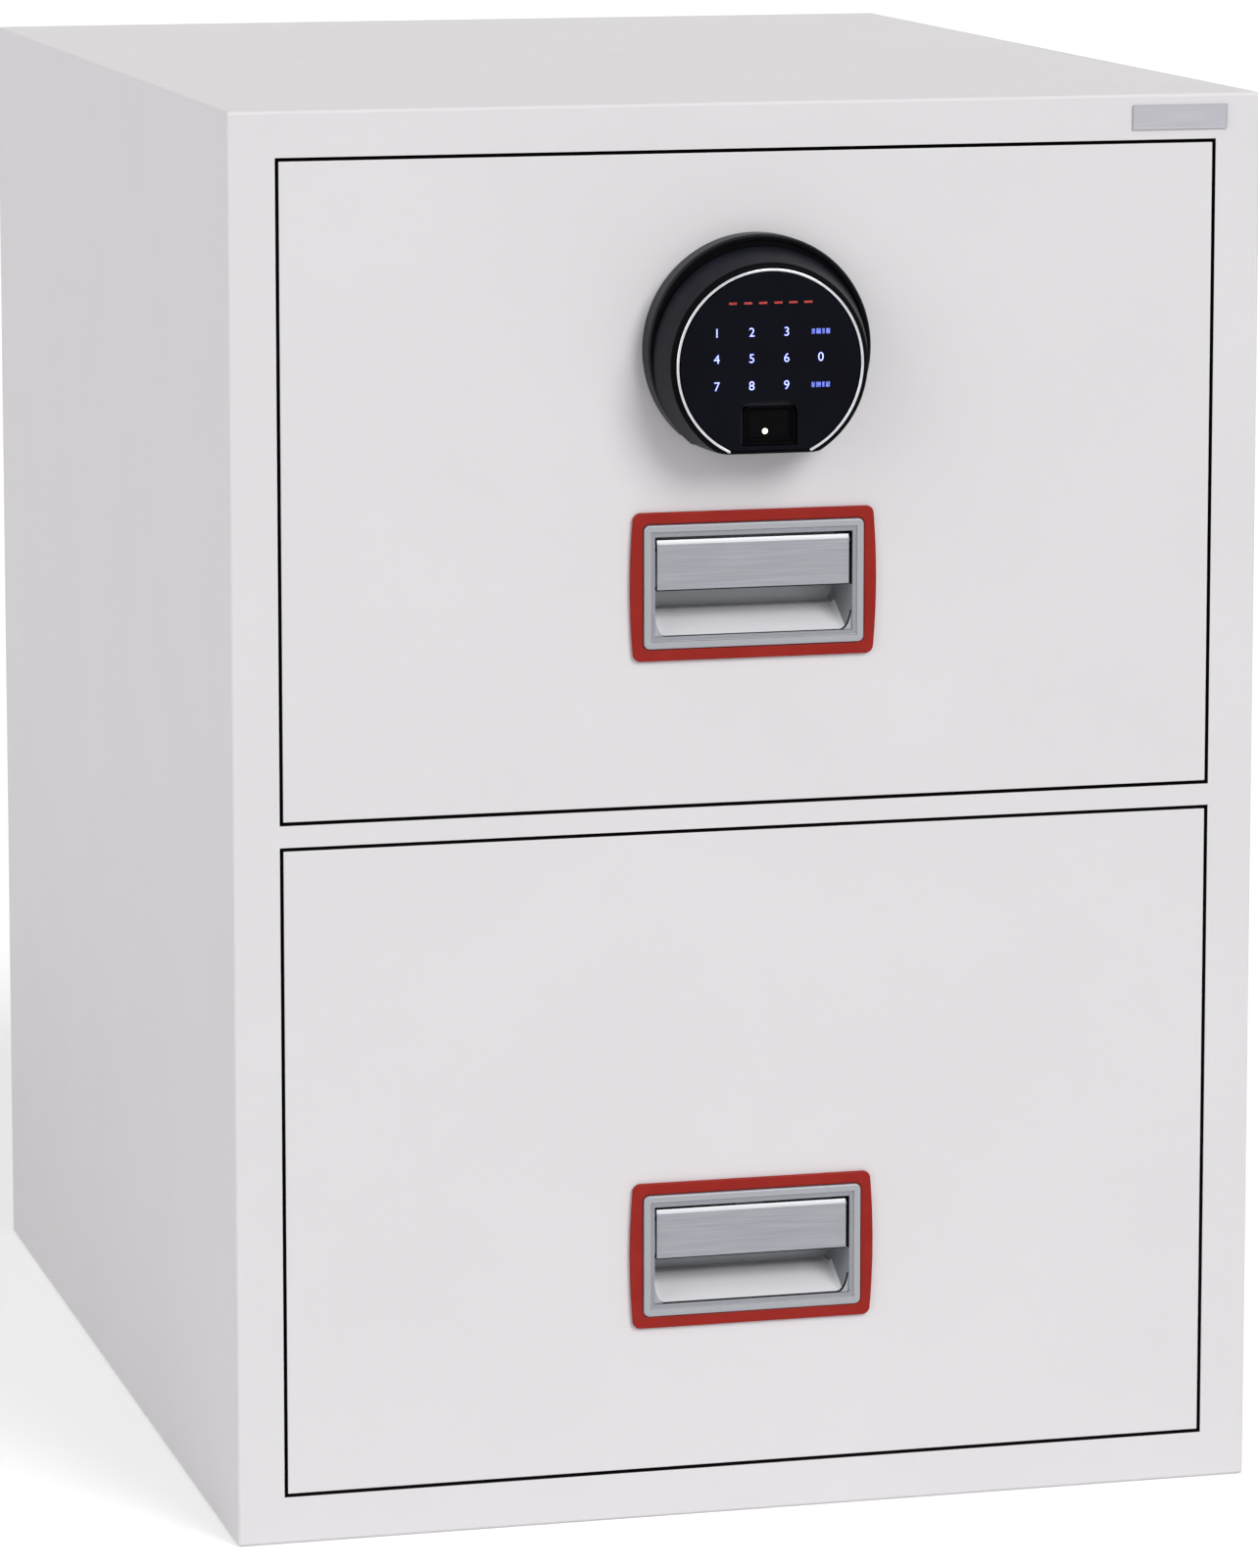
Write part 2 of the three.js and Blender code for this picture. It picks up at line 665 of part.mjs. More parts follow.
// Tapered shell, hollow from behind, with recesses in its face for ring, panel and finger sensor
function keypadHousing() {
  const rear = -baseDepth - baseBevel;
  const bottom = upper.middle + chinRise;
  const slope = housingWall + 2 * fit;
  const hollowFront = -faceProud + panelThickness + 2 * housingWall;
  const share = (faceProud + hollowFront) / (faceProud + rear);
  const hollow = obliqueCone(housingRadius - slope, housingRise, rear + fit,
    THREE.MathUtils.lerp(faceRadius, housingRadius, share) - slope,
    THREE.MathUtils.lerp(faceRise, housingRise, share), hollowFront)
    .subtract(solidBlock([-2 * baseRadius, 2 * baseRadius],
      [front - faceProud, front], [bottom - baseRadius, bottom + housingWall]));
  const centre = upper.middle + faceRise;
  const recess = solid(barAlongY(ringRadius + ringWidth / 2 + fit,
    behind(-2 * faceProud), behind(-faceProud + panelThickness + fit), 0, centre, 48));
  return shapeOf(obliqueCone(housingRadius, housingRise, rear, faceRadius, faceRise, -faceProud)
    .subtract(chinCut())
    .subtract(hollow)
    .subtract(recess.subtract(chinRim(0)))
    .subtract(fingerSpace(fit)));
}

// Recess for the finger sensor, widened by a margin
function fingerSpace(margin) {
  const bottom = upper.middle + chinRise + fingerLift;
  const d0 = -faceProud + panelThickness + fit;
  return solidBlock([-fingerHalfWidth - margin, fingerHalfWidth + margin],
    [behind(-2 * faceProud), behind(d0 + fingerDepth + margin)],
    [bottom - margin, bottom + fingerHeight + margin]);
}

// Space of the rim that closes the face along the flat cut, widened by a margin
const chinRim = (margin) => solidBlock([-baseRadius, baseRadius], [front - 2 * faceProud, front],
  [upper.middle + chinRise - baseRadius, upper.middle + chinRise + housingWall / 2 + margin]);

// Bright ring round the face, open at the bottom
function chromeBand() {
  const open = Math.acos(ringOpening / ringRadius);
  const outer = ringRadius + ringWidth / 2;
  const inner = ringRadius - ringWidth / 2;
  const outline = new THREE.Shape();
  outline.absarc(0, 0, outer, -open, Math.PI + open, false);
  outline.absarc(0, 0, inner, Math.PI + open, -open, true);
  const band = alongY(outline, behind(-faceProud - ringProud), behind(-faceProud + panelThickness), 48);
  return shapeOf(solid(band.translate(0, 0, upper.middle + faceRise)).subtract(chinRim(fit)));
}

// Black touch panel, notched round the finger sensor
function touchPanel() {
  return shapeOf(solid(barAlongY(ringRadius - ringWidth / 2 - fit,
    behind(-faceProud), behind(-faceProud + panelThickness), 0, upper.middle + faceRise, 48))
    .subtract(chinRim(fit))
    .subtract(fingerSpace(fit)));
}

// Finger sensor: a block whose face is sunk behind the panel
function fingerprintSensor() {
  const bottom = upper.middle + chinRise + fingerLift;
  return block([-fingerHalfWidth, fingerHalfWidth],
    [behind(-faceProud + panelThickness), behind(-faceProud + panelThickness + fit + fingerDepth)],
    [bottom, bottom + fingerHeight]);
}

function circuitBoard() {
  return barAlongY(boardRadius, behind(boardRear - boardThickness), behind(boardRear),
    0, upper.middle + keypadRise, 32);
}

function batteryPack() {
  const bottom = upper.middle + chinRise + batteryLift;
  const rear = boardRear - boardThickness - fit;
  return block([-batteryWidth / 2, batteryWidth / 2],
    [behind(rear - batteryThickness), behind(rear)], [bottom, bottom + batteryHeight]);
}

// Assembly
const cabinet = new THREE.Group();

function add(name, geometry, material) {
  const mesh = new THREE.Mesh(geometry, material());
  mesh.name = name;
  cabinet.add(mesh);
}

add('outer_casing', outerCasing(), whitePaint);
add('back_panel', backPanel(), whitePaint);
add('fire_insulation', fireInsulation(), insulationGrey);
add('name_plate', namePlate(), plateSilver);
add('bolt_ferrule', boltFerrule(), zincSteel);

for (const level of levels) {
  const piece = (name, geometry, material) => add(`${level.name}_${name}`, geometry, material);
  piece('bay_liner', bayLiner(level), liningPaint);
  piece('latch_keeper', latchKeeper(level), zincSteel);
  piece('head_skin', headSkin(level), whitePaint);
  piece('head_inner_pan', headInnerPan(level), liningPaint);
  piece('head_insulation', headInsulation(level), insulationGrey);
  piece('fire_seal', fireSeal(level), sealGrey);
  piece('tray', tray(level), liningPaint);
  for (const [hand, side] of [['left', -1], ['right', 1]]) {
    piece(`${hand}_cabinet_slide`, cabinetMember(level, side), zincSteel);
    piece(`${hand}_middle_slide`, middleMember(level, side), zincSteel);
    piece(`${hand}_drawer_slide`, drawerMember(level, side), zincSteel);
    piece(`${hand}_file_rail`, fileRail(level, side), zincSteel);
  }
  piece('handle_bezel', handleBezel(level), redPlastic);
  piece('handle_cup', handleCup(level), silverPaint);
  piece('handle_flap', handleFlap(level), brushedFlap);
  piece('flap_pin', flapPin(level), zincSteel);
  piece('flap_spring', flapSpring(level), zincSteel);
  piece('latch_bar', latchBar(level), zincSteel);
}

add('lock_case', lockCase(), zincSteel);
add('lock_bolt', lockBolt(), zincSteel);
add('keypad_lead', keypadLead(), blackPlastic);
add('keypad_base', keypadBase(), blackPlastic);
add('keypad_housing', keypadHousing(), blackPlastic);
add('chrome_ring', chromeBand(), chromeRing);
add('touch_panel', touchPanel(), blackGlass);
add('fingerprint_sensor', fingerprintSensor(), blackGlass);
add('circuit_board', circuitBoard(), boardGreen);
add('battery_pack', batteryPack(), silverPaint);

export default cabinet;
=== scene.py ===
# %% [markdown]
# # A fire file with two drawers
#
# The object is a steel cabinet that keeps paper cool in a fire. Two drawers slide in a thick, insulated
# body. A round electronic lock sits on the upper drawer, and each drawer has a lever handle sunk in its
# front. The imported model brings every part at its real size, in metres. This file gives the parts their
# finished shapes and surfaces around that model, one part at a time.

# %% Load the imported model
import math
from contextlib import contextmanager

import bmesh
import bpy
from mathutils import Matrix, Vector
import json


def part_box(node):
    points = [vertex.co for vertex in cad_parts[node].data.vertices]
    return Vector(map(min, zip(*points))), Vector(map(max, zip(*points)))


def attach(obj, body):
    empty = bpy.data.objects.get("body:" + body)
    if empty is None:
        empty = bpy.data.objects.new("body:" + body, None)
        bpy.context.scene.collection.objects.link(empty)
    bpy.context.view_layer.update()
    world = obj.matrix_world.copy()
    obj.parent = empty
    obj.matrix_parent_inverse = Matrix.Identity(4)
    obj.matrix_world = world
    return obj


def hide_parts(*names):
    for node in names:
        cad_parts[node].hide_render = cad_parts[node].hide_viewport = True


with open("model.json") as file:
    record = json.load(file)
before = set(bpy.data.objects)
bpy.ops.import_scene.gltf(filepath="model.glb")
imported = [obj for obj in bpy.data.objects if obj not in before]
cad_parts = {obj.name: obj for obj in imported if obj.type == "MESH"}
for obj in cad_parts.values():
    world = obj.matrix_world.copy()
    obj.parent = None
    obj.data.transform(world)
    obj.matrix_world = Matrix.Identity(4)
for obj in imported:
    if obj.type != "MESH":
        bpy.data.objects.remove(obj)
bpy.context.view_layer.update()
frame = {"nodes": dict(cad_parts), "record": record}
mm = 0.001
print("parts in the packed model:", len(frame["nodes"]))

# %% [markdown]
# ## Camera
#
# The view is from the left of the front and from a little above, with a long lens that keeps the sides
# nearly parallel. A small downward shift of the lens lets the camera look down less steeply, so that the
# upright edges lean together only slightly, as on a picture taken with a view camera.

# %% Camera
lens = 154.3
lens_shift = -0.14
camera_place = (-0.8975, -3.5286, 0.9596)
camera_tilt = math.radians(81.854)
camera_turn = math.radians(-14.65)

camera_data = bpy.data.cameras.new("camera")
camera_data.lens = lens
camera_data.sensor_width = 36
camera_data.shift_y = lens_shift
camera = bpy.data.objects.new("camera", camera_data)
camera.location = camera_place
camera.rotation_euler = (camera_tilt, 0, camera_turn)
bpy.context.scene.collection.objects.link(camera)
bpy.context.scene.camera = camera
print("camera stands", round(Vector(camera_place).length, 2), "m away")

# %% [markdown]
# ## Light
#
# White paint shows its shape only where its sides differ in brightness. An even sky gives every side
# about half of its light. A broad sun from the front, from the right and above, makes the front the
# lightest side, reaches the scoops of the handles and draws soft shadows to the left of the lock. A
# second one from the left keeps that side from going grey, and a third, low one from behind does so
# for the back. Seen from the front that one would only glare off the top, so it makes no highlights.
# Suns are used rather than lamps that stand near, because they light the floor evenly however far it
# reaches.

# %% Sky
bpy.context.scene.view_settings.view_transform = "Standard"
sky_light = 0.4
sky_seen = 1.0


def seen_directly(nodes, links):
    """1 where a thing is seen straight on, in a mirror or through glass, and 0 where it only gives light."""
    path = nodes.new("ShaderNodeLightPath")
    seen = path.outputs["Is Camera Ray"]
    for way in ("Is Glossy Ray", "Is Transmission Ray"):
        larger = nodes.new("ShaderNodeMath")
        larger.operation = "MAXIMUM"
        links.new(seen, larger.inputs[0])
        links.new(path.outputs[way], larger.inputs[1])
        seen = larger.outputs[0]
    return seen


world = bpy.data.worlds.new("studio")
world.use_nodes = True
bpy.context.scene.world = world
nodes, links = world.node_tree.nodes, world.node_tree.links
sky_strength = nodes.new("ShaderNodeMix")
sky_strength.inputs[2].default_value = sky_light
sky_strength.inputs[3].default_value = sky_seen
links.new(seen_directly(nodes, links), sky_strength.inputs[0])
links.new(sky_strength.outputs[0], nodes["Background"].inputs["Strength"])
nodes["Background"].inputs["Color"].default_value = (1, 1, 1, 1)
print("sky gives", sky_light, "and is seen as", sky_seen)

# %% Suns
def add_sun(name, comes_from, strength, spread, highlights=True):
    """A sun whose light comes from a direction and is spread over so many degrees."""
    data = bpy.data.lights.new(name, "SUN")
    data.energy = strength
    data.angle = math.radians(spread)
    sun = bpy.data.objects.new(name, data)
    sun.rotation_euler = Vector(comes_from).to_track_quat("Z", "Y").to_euler()
    sun.visible_glossy = highlights
    bpy.context.scene.collection.objects.link(sun)


add_sun("front_right_sun", comes_from=(0.37, -0.75, 0.545), strength=1.7, spread=30)
add_sun("left_sun", comes_from=(-0.9, -0.25, 0.35), strength=1.0, spread=60)
add_sun("rear_sun", comes_from=(0.35, 0.93, 0.05), strength=0.6, spread=12, highlights=False)
print("suns:", [light.name for light in bpy.data.lights])

# %% [markdown]
# ## Colours and surfaces
#
# A finish is a shader whose colour, roughness and relief vary a little from place to place, as they do
# on real paint, metal and plastic. Each pattern is noise read at the object's own coordinates, so that
# it stays on the part when the part moves. The class below keeps the few steps that every finish takes.

# %% Colours
def srgb(red, green, blue):
    """The linear colour of three screen values from 0 to 255."""
    def linear(value):
        share = value / 255
        return share / 12.92 if share <= 0.04045 else ((share + 0.055) / 1.055) ** 2.4
    return (linear(red), linear(green), linear(blue), 1)


print("a screen value of 226 is", round(srgb(226, 226, 226)[0], 3), "in the linear colours of a shader")

# %% What every finish is made with
class Finish:
    """A material, with the steps that give it its pattern."""

    def __init__(self, name, metallic=0.0, gloss=0.5):
        self.material = bpy.data.materials.new(name)
        self.material.use_nodes = True
        self.nodes, self.links = self.material.node_tree.nodes, self.material.node_tree.links
        self.shader = self.nodes["Principled BSDF"]
        self.shader.inputs["Metallic"].default_value = metallic
        self.shader.inputs["Specular IOR Level"].default_value = gloss
        self.place = self.nodes.new("ShaderNodeTexCoord").outputs["Object"]

    def noise(self, size, detail=2.0, stretch=(1, 1, 1)):
        """Noise whose patches are about so many metres wide, drawn out along an axis where stretched."""
        mapping = self.nodes.new("ShaderNodeMapping")
        mapping.inputs["Scale"].default_value = [1 / (size * factor) for factor in stretch]
        self.links.new(self.place, mapping.inputs["Vector"])
        noise = self.nodes.new("ShaderNodeTexNoise")
        noise.inputs["Scale"].default_value = 1
        noise.inputs["Detail"].default_value = detail
        self.links.new(mapping.outputs[0], noise.inputs["Vector"])
        return noise.outputs["Fac"]

    def spread(self, share, low, high, start=0.3, end=0.7):
        """Turns the middle of a pattern's range into values from low to high."""
        spread = self.nodes.new("ShaderNodeMapRange")
        for socket, value in zip(("From Min", "From Max", "To Min", "To Max"), (start, end, low, high)):
            spread.inputs[socket].default_value = value
        self.links.new(share, spread.inputs["Value"])
        return spread.outputs["Result"]

    def colours(self, share, dark, light):
        """Colours the surface from dark to light by a pattern."""
        mix = self.nodes.new("ShaderNodeMix")
        mix.data_type = "RGBA"
        mix.inputs[6].default_value = dark
        mix.inputs[7].default_value = light
        self.links.new(self.spread(share, 0, 1), mix.inputs[0])
        self.links.new(mix.outputs[2], self.shader.inputs["Base Color"])

    def roughness(self, share, low, high):
        self.links.new(self.spread(share, low, high), self.shader.inputs["Roughness"])

    def relief(self, share, depth, strength=1.0):
        """Raises and sinks the surface by a pattern, by so many metres."""
        bump = self.nodes.new("ShaderNodeBump")
        bump.inputs["Strength"].default_value = strength
        bump.inputs["Distance"].default_value = depth
        self.links.new(share, bump.inputs["Height"])
        self.links.new(bump.outputs["Normal"], self.shader.inputs["Normal"])


print("finishes are made from noise at object coordinates")

# %% [markdown]
# ### Paint
#
# The body is powder coated. The powder melts into a hard satin skin with a faint ripple, like the skin of an
# orange, whose waves are one to two millimetres long. The linings and trays wear a thinner, greyer coat. A
# black coat is painted shade: it goes on the folded edges inside the gaps, and on the faces in and beside the
# handles' pockets and flaps where shadow falls. The handles' frames are painted silver, with fine metal
# flakes in the paint. Their inner band gets a darker silver. Their scoops get a paler one, which is painted
# light where light falls into the scoop.

# %% Paint finishes
def powder_coat(name, dark, light, rough, ripple=0.004 * mm):
    coat = Finish(name, gloss=0.28)
    coat.colours(coat.noise(size=90 * mm), dark, light)
    waves = coat.noise(size=1.6 * mm, detail=1)
    coat.roughness(waves, rough - 0.04, rough + 0.04)
    coat.relief(waves, ripple)
    return coat.material


def silver_paint(name, dark, light, metallic):
    paint = Finish(name, metallic=metallic, gloss=0.4)
    flakes = paint.noise(size=0.5 * mm)
    paint.colours(flakes, dark, light)
    paint.roughness(flakes, 0.36, 0.46)
    paint.relief(flakes, depth=0.003 * mm)
    return paint.material


white_paint = powder_coat("white_powder_coat", srgb(225, 222, 224), srgb(227, 224, 226), rough=0.5)
lining_paint = powder_coat("grey_lining_coat", srgb(198, 200, 204), srgb(203, 205, 209), rough=0.55,
                           ripple=0.006 * mm)
# Black for the faces inside the gaps and round the flaps: painted shade where shadow falls.
painted_shade_coat = powder_coat("painted_shade_black", srgb(12, 12, 13), srgb(16, 16, 17), rough=0.6)
silver = silver_paint("silver_flake_paint", srgb(160, 162, 167), srgb(170, 172, 177), metallic=0.35)
dark_silver = silver_paint("dark_silver_paint", srgb(142, 144, 150), srgb(152, 154, 160), metallic=0.35)
# A paler copy of the silver for the scoops: painted light, as where light falls onto them from above.
painted_light_silver = silver_paint("pale_silver_paint", srgb(236, 236, 240), srgb(242, 242, 246), metallic=0.0)
print("paints:", [paint.name for paint in (white_paint, lining_paint, painted_shade_coat)],
      [paint.name for paint in (silver, dark_silver, painted_light_silver)])

# %% [markdown]
# ### Bare metal
# Zinc-plated steel is blue-grey with soft cloudy patches, and rolled steel strip also has faint lines along
# its length. The flap is brushed: its scratches are a few hundredths of a millimetre wide and many
# centimetres long, which here is noise drawn out along the width of the drawer. A paler copy of the flap's
# metal goes on the chamfer along its upper edge: a painted highlight, where that edge catches the light.

# %% Metal finishes
def brushed_metal(name, dark, light, rough, metallic, along=(60, 1, 1)):
    metal = Finish(name, metallic=metallic)
    lines = metal.noise(size=0.5 * mm, detail=3, stretch=along)
    metal.colours(lines, dark, light)
    metal.roughness(lines, rough - 0.06, rough + 0.08)
    metal.relief(lines, depth=0.004 * mm)
    return metal.material


def zinc_plate():
    zinc = Finish("zinc_plating", metallic=1.0)
    clouds = zinc.noise(size=9 * mm, detail=4)
    zinc.colours(clouds, srgb(178, 181, 185), srgb(194, 197, 200))
    zinc.roughness(clouds, 0.3, 0.38)
    zinc.relief(zinc.noise(size=0.6 * mm, stretch=(1, 40, 1)), depth=0.004 * mm)
    return zinc.material


def chrome():
    bright = Finish("bright_chrome", metallic=1.0)
    haze = bright.noise(size=3 * mm)
    bright.colours(haze, srgb(200, 201, 206), srgb(218, 219, 223))
    bright.roughness(haze, 0.1, 0.16)
    return bright.material


zinc_steel = zinc_plate()
brushed_flap = brushed_metal("brushed_flap_metal", srgb(150, 152, 158), srgb(164, 166, 172),
                             rough=0.36, metallic=0.55)
# A paler copy of the flap's metal for its top chamfer: a painted highlight.
painted_highlight = brushed_metal("bright_cut_metal", srgb(198, 199, 202), srgb(210, 211, 214),
                           rough=0.48, metallic=0.5)
plate_metal = brushed_metal("brushed_plate_metal", srgb(175, 174, 180), srgb(187, 185, 191),
                            rough=0.38, metallic=0.4)
chrome_ring = chrome()
print("metals:", [metal.name for metal in (zinc_steel, brushed_flap, painted_highlight, plate_metal, chrome_ring)])

# %% [markdown]
# ### Plastic, glass and rubber
#
# The handles' surrounds are moulded in red plastic, and the lock's base and housing in near-black plastic
# with a fine spark-eroded grain. A blacker copy of it is painted shade: it goes in the base's grooves, on the
# housing's shoulder round the ring and its flat cut below, and on the sunk finger sensor, whose own dark
# colour it also gives. The touch panel is smooth, so dark that only its gloss shows.

# %% Moulded finishes
def moulded(name, dark, light, rough, grain=0.003 * mm, gloss=0.5):
    plastic = Finish(name, gloss=gloss)
    plastic.colours(plastic.noise(size=12 * mm), dark, light)
    texture = plastic.noise(size=0.35 * mm, detail=1)
    plastic.roughness(texture, rough - 0.05, rough + 0.05)
    plastic.relief(texture, grain)
    return plastic.material


def touch_glass():
    glass = Finish("dark_touch_glass", gloss=0.045)
    glass.colours(glass.noise(size=30 * mm), srgb(9, 10, 18), srgb(13, 14, 23))
    glass.roughness(glass.noise(size=20 * mm), 0.05, 0.09)
    return glass.material


red_plastic = moulded("red_moulding", srgb(146, 32, 25), srgb(153, 37, 29), rough=0.42, gloss=0.16)
black_plastic = moulded("black_moulding", srgb(20, 21, 29), srgb(25, 26, 35), rough=0.36, gloss=0.12)
# A blacker copy of the lock's plastic: painted shade in its grooves, round the ring and under its chin.
painted_shade_plastic = moulded("black_groove_moulding", srgb(6, 6, 8), srgb(9, 9, 11), rough=0.5, gloss=0.03)
lead_rubber = moulded("lead_sheath", srgb(24, 24, 26), srgb(34, 34, 36), rough=0.7, grain=0.01 * mm)
battery_wrap = moulded("battery_sleeve", srgb(70, 76, 92), srgb(84, 90, 106), rough=0.5, grain=0.004 * mm)
black_gloss = touch_glass()
print("moulded:", red_plastic.name, black_plastic.name, painted_shade_plastic.name)
print("for the inside:", lead_rubber.name, battery_wrap.name)

# %% [markdown]
# ### Mineral filling, fire seal and circuit board
#
# The filling is a cast mineral foam with open pores. The seal is a strip of pressed fibre that swells
# in a fire. Neither has any gloss. The board is green lacquer over glass weave.

# %% Dull finishes
def cast_mineral():
    filling = Finish("cast_filling", gloss=0.1)
    pores = filling.noise(size=2.5 * mm, detail=6)
    filling.colours(pores, srgb(150, 145, 136), srgb(184, 179, 170))
    filling.roughness(pores, 0.85, 1.0)
    filling.relief(pores, depth=0.5 * mm)
    return filling.material


def pressed_fibre():
    fibre = Finish("pressed_fibre_strip", gloss=0.2)
    hairs = fibre.noise(size=0.8 * mm, detail=5, stretch=(3, 1, 3))
    fibre.colours(hairs, srgb(74, 72, 70), srgb(104, 102, 99))
    fibre.roughness(hairs, 0.8, 0.95)
    fibre.relief(hairs, depth=0.12 * mm)
    return fibre.material


def green_board():
    board = Finish("green_lacquer", gloss=0.5)
    weave = board.noise(size=0.7 * mm, detail=1)
    board.colours(weave, srgb(30, 78, 52), srgb(42, 92, 64))
    board.roughness(weave, 0.35, 0.5)
    return board.material


insulation = cast_mineral()
fire_seal = pressed_fibre()
board_green = green_board()
print("dull finishes:", insulation.name, fire_seal.name, board_green.name)

# %% [markdown]
# ### Lit symbols
#
# The panel's symbols are lit from behind. They glow no brighter than white paint in the same room, so
# their strength stays near 1.

# %% Glowing finishes
def lit(name, dim, bright, strength):
    glow = Finish(name, gloss=0.2)
    glow.shader.inputs["Roughness"].default_value = 0.4
    glow.colours(glow.noise(size=1.2 * mm), dim, bright)
    base = glow.shader.inputs["Base Color"].links[0].from_socket
    glow.links.new(base, glow.shader.inputs["Emission Color"])
    glow.shader.inputs["Emission Strength"].default_value = strength
    return glow.material


digit_light = lit("digit_glow", srgb(176, 190, 250), srgb(214, 222, 255), strength=0.72)
digit_halo = lit("halo_glow", srgb(28, 44, 180), srgb(42, 60, 212), strength=0.6)
key_light = lit("key_glow", srgb(62, 76, 176), srgb(128, 142, 228), strength=0.5)
dash_light = lit("dash_glow", srgb(138, 40, 36), srgb(180, 74, 64), strength=0.36)
dot_light = lit("dot_glow", srgb(250, 240, 205), srgb(255, 250, 225), strength=1.0)
print("lit:", [light.name for light in (digit_light, digit_halo, key_light, dash_light, dot_light)])

# %% [markdown]
# ## Floor
#
# A plain pale floor carries the shadow of the cabinet. It gives back somewhat less light than it shows,
# so that it looks nearly white and yet doesn't flood the lower edges of the cabinet. Where it is seen
# straight on or in a mirror it also glows a little, which keeps its shadow pale.

# %% Floor
floor_size = 80
floor_gives = srgb(222, 222, 224)
floor_shows = srgb(252, 252, 253)
floor_glow = 0.28
bpy.ops.object.select_all(action="DESELECT")
bpy.ops.mesh.primitive_plane_add(size=floor_size)
floor = bpy.context.object
floor.name = "floor"
floor_paint = Finish("floor", gloss=0.0)
floor_paint.shader.inputs["Roughness"].default_value = 1.0
shown = floor_paint.nodes.new("ShaderNodeMix")
shown.data_type = "RGBA"
shown.inputs[6].default_value = floor_gives
shown.inputs[7].default_value = floor_shows
floor_seen = seen_directly(floor_paint.nodes, floor_paint.links)
floor_paint.links.new(floor_seen, shown.inputs[0])
floor_paint.links.new(shown.outputs[2], floor_paint.shader.inputs["Base Color"])
floor_paint.shader.inputs["Emission Color"].default_value = (1, 1, 1, 1)
floor_paint.links.new(floor_paint.spread(floor_seen, 0, floor_glow, start=0, end=1),
                      floor_paint.shader.inputs["Emission Strength"])
floor.data.materials.append(floor_paint.material)
print("floor is", floor_size, "m wide")

# %% [markdown]
# ## Ways of working
#
# Every new part starts as a block or a cylinder at its place and is shaped in edit mode, as by hand:
# faces and edges are picked by where they are or which way they face, and then inset, extruded,
# bevelled or cut. Modifiers round the edges at the end. These helpers hold what all parts share. Of the
# small distances, tiny and near tell places apart, past is how far a cutting shape runs beyond what it
# cuts, and fit is the gap between parts that sit in one another.

# %% Selecting and starting shapes
tiny = 0.02 * mm
near = 1 * mm
past = 5 * mm
fit = 0.3 * mm
sheet_edge = 0.3 * mm
fine_edge = 0.25 * mm


def deselect_all():
    if bpy.context.object and bpy.context.object.mode == "EDIT":
        bpy.ops.object.mode_set(mode="OBJECT")
    bpy.ops.object.select_all(action="DESELECT")


def take(piece):
    """Makes one object the selected and active one."""
    deselect_all()
    piece.select_set(True)
    bpy.context.view_layer.objects.active = piece


def settle(name):
    """Names the new object and moves its place, turn and size into its mesh."""
    piece = bpy.context.object
    piece.name = piece.data.name = name
    bpy.ops.object.transform_apply(location=True, rotation=True, scale=True)
    return piece


def start_block(name, low, high):
    """A block from its lowest to its highest corner."""
    deselect_all()
    low, high = Vector(low), Vector(high)
    bpy.ops.mesh.primitive_cube_add(size=1, location=(low + high) / 2)
    bpy.context.object.scale = high - low
    return settle(name)


def start_round(name, radius, y0, y1, x, z, sides=128):
    """A cylinder along y, between two places, round the line through x and z."""
    deselect_all()
    bpy.ops.mesh.primitive_cylinder_add(
        vertices=sides, radius=radius, depth=y1 - y0,
        location=(x, (y0 + y1) / 2, z), rotation=(math.radians(90), 0, 0))
    return settle(name)


print("shapes start as blocks and cylinders, and sit", fit / mm, "mm apart")

# %% Picking in edit mode
@contextmanager
def editing(piece):
    take(piece)
    bpy.ops.object.mode_set(mode="EDIT")
    yield
    bpy.ops.object.mode_set(mode="OBJECT")


def pick(kind, passes):
    """Selects what passes a test, among the faces, edges or vertices of the mesh in edit mode."""
    bpy.ops.mesh.select_mode(type={"faces": "FACE", "edges": "EDGE", "verts": "VERT"}[kind])
    bpy.ops.mesh.select_all(action="DESELECT")
    mesh = bmesh.from_edit_mesh(bpy.context.object.data)
    for element in getattr(mesh, kind):
        if passes(element):
            element.select_set(True)
    bmesh.update_edit_mesh(bpy.context.object.data)


def pick_faces(test):
    """Selects the faces whose middle and outward direction pass the test."""
    pick("faces", lambda face: test(face.calc_center_median(), face.normal))


def pick_edges(test):
    """Selects the edges whose middle and direction pass the test."""
    def passes(edge):
        start, end = (vert.co for vert in edge.verts)
        return test((start + end) / 2, (end - start).normalized())
    pick("edges", passes)


def pick_points(test):
    """Selects the vertices whose place passes the test."""
    pick("verts", lambda vert: test(vert.co))


print("faces, edges and vertices are picked by place and direction")

# %% Shaping and finishing
def slice_at(place, normal):
    """Cuts the selected faces along a plane."""
    bpy.ops.mesh.bisect(plane_co=place, plane_no=normal)


def extrude_by(move):
    bpy.ops.mesh.extrude_region_move(TRANSFORM_OT_translate={"value": move})


def modify(piece, kind, **settings):
    """Adds a modifier, sets it and applies it."""
    take(piece)
    modifier = piece.modifiers.new(kind, kind)
    for name, value in settings.items():
        setattr(modifier, name, value)
    bpy.ops.object.modifier_apply(modifier=modifier.name)


def cut_away(piece, *cutters):
    """Takes the space of each cutter out of the piece."""
    for cutter in cutters:
        modify(piece, "BOOLEAN", object=cutter, operation="DIFFERENCE", solver="EXACT")
        bpy.data.objects.remove(cutter)


def weld_on(piece, *others):
    """Joins solids that run into each other into one skin."""
    for other in others:
        modify(piece, "BOOLEAN", object=other, operation="UNION", solver="EXACT")
        bpy.data.objects.remove(other)


def put_together(name, pieces):
    """Makes one object of several separate shells."""
    deselect_all()
    for piece in pieces:
        piece.select_set(True)
    bpy.context.view_layer.objects.active = pieces[0]
    if len(pieces) > 1:
        bpy.ops.object.join()
    return settle(name)


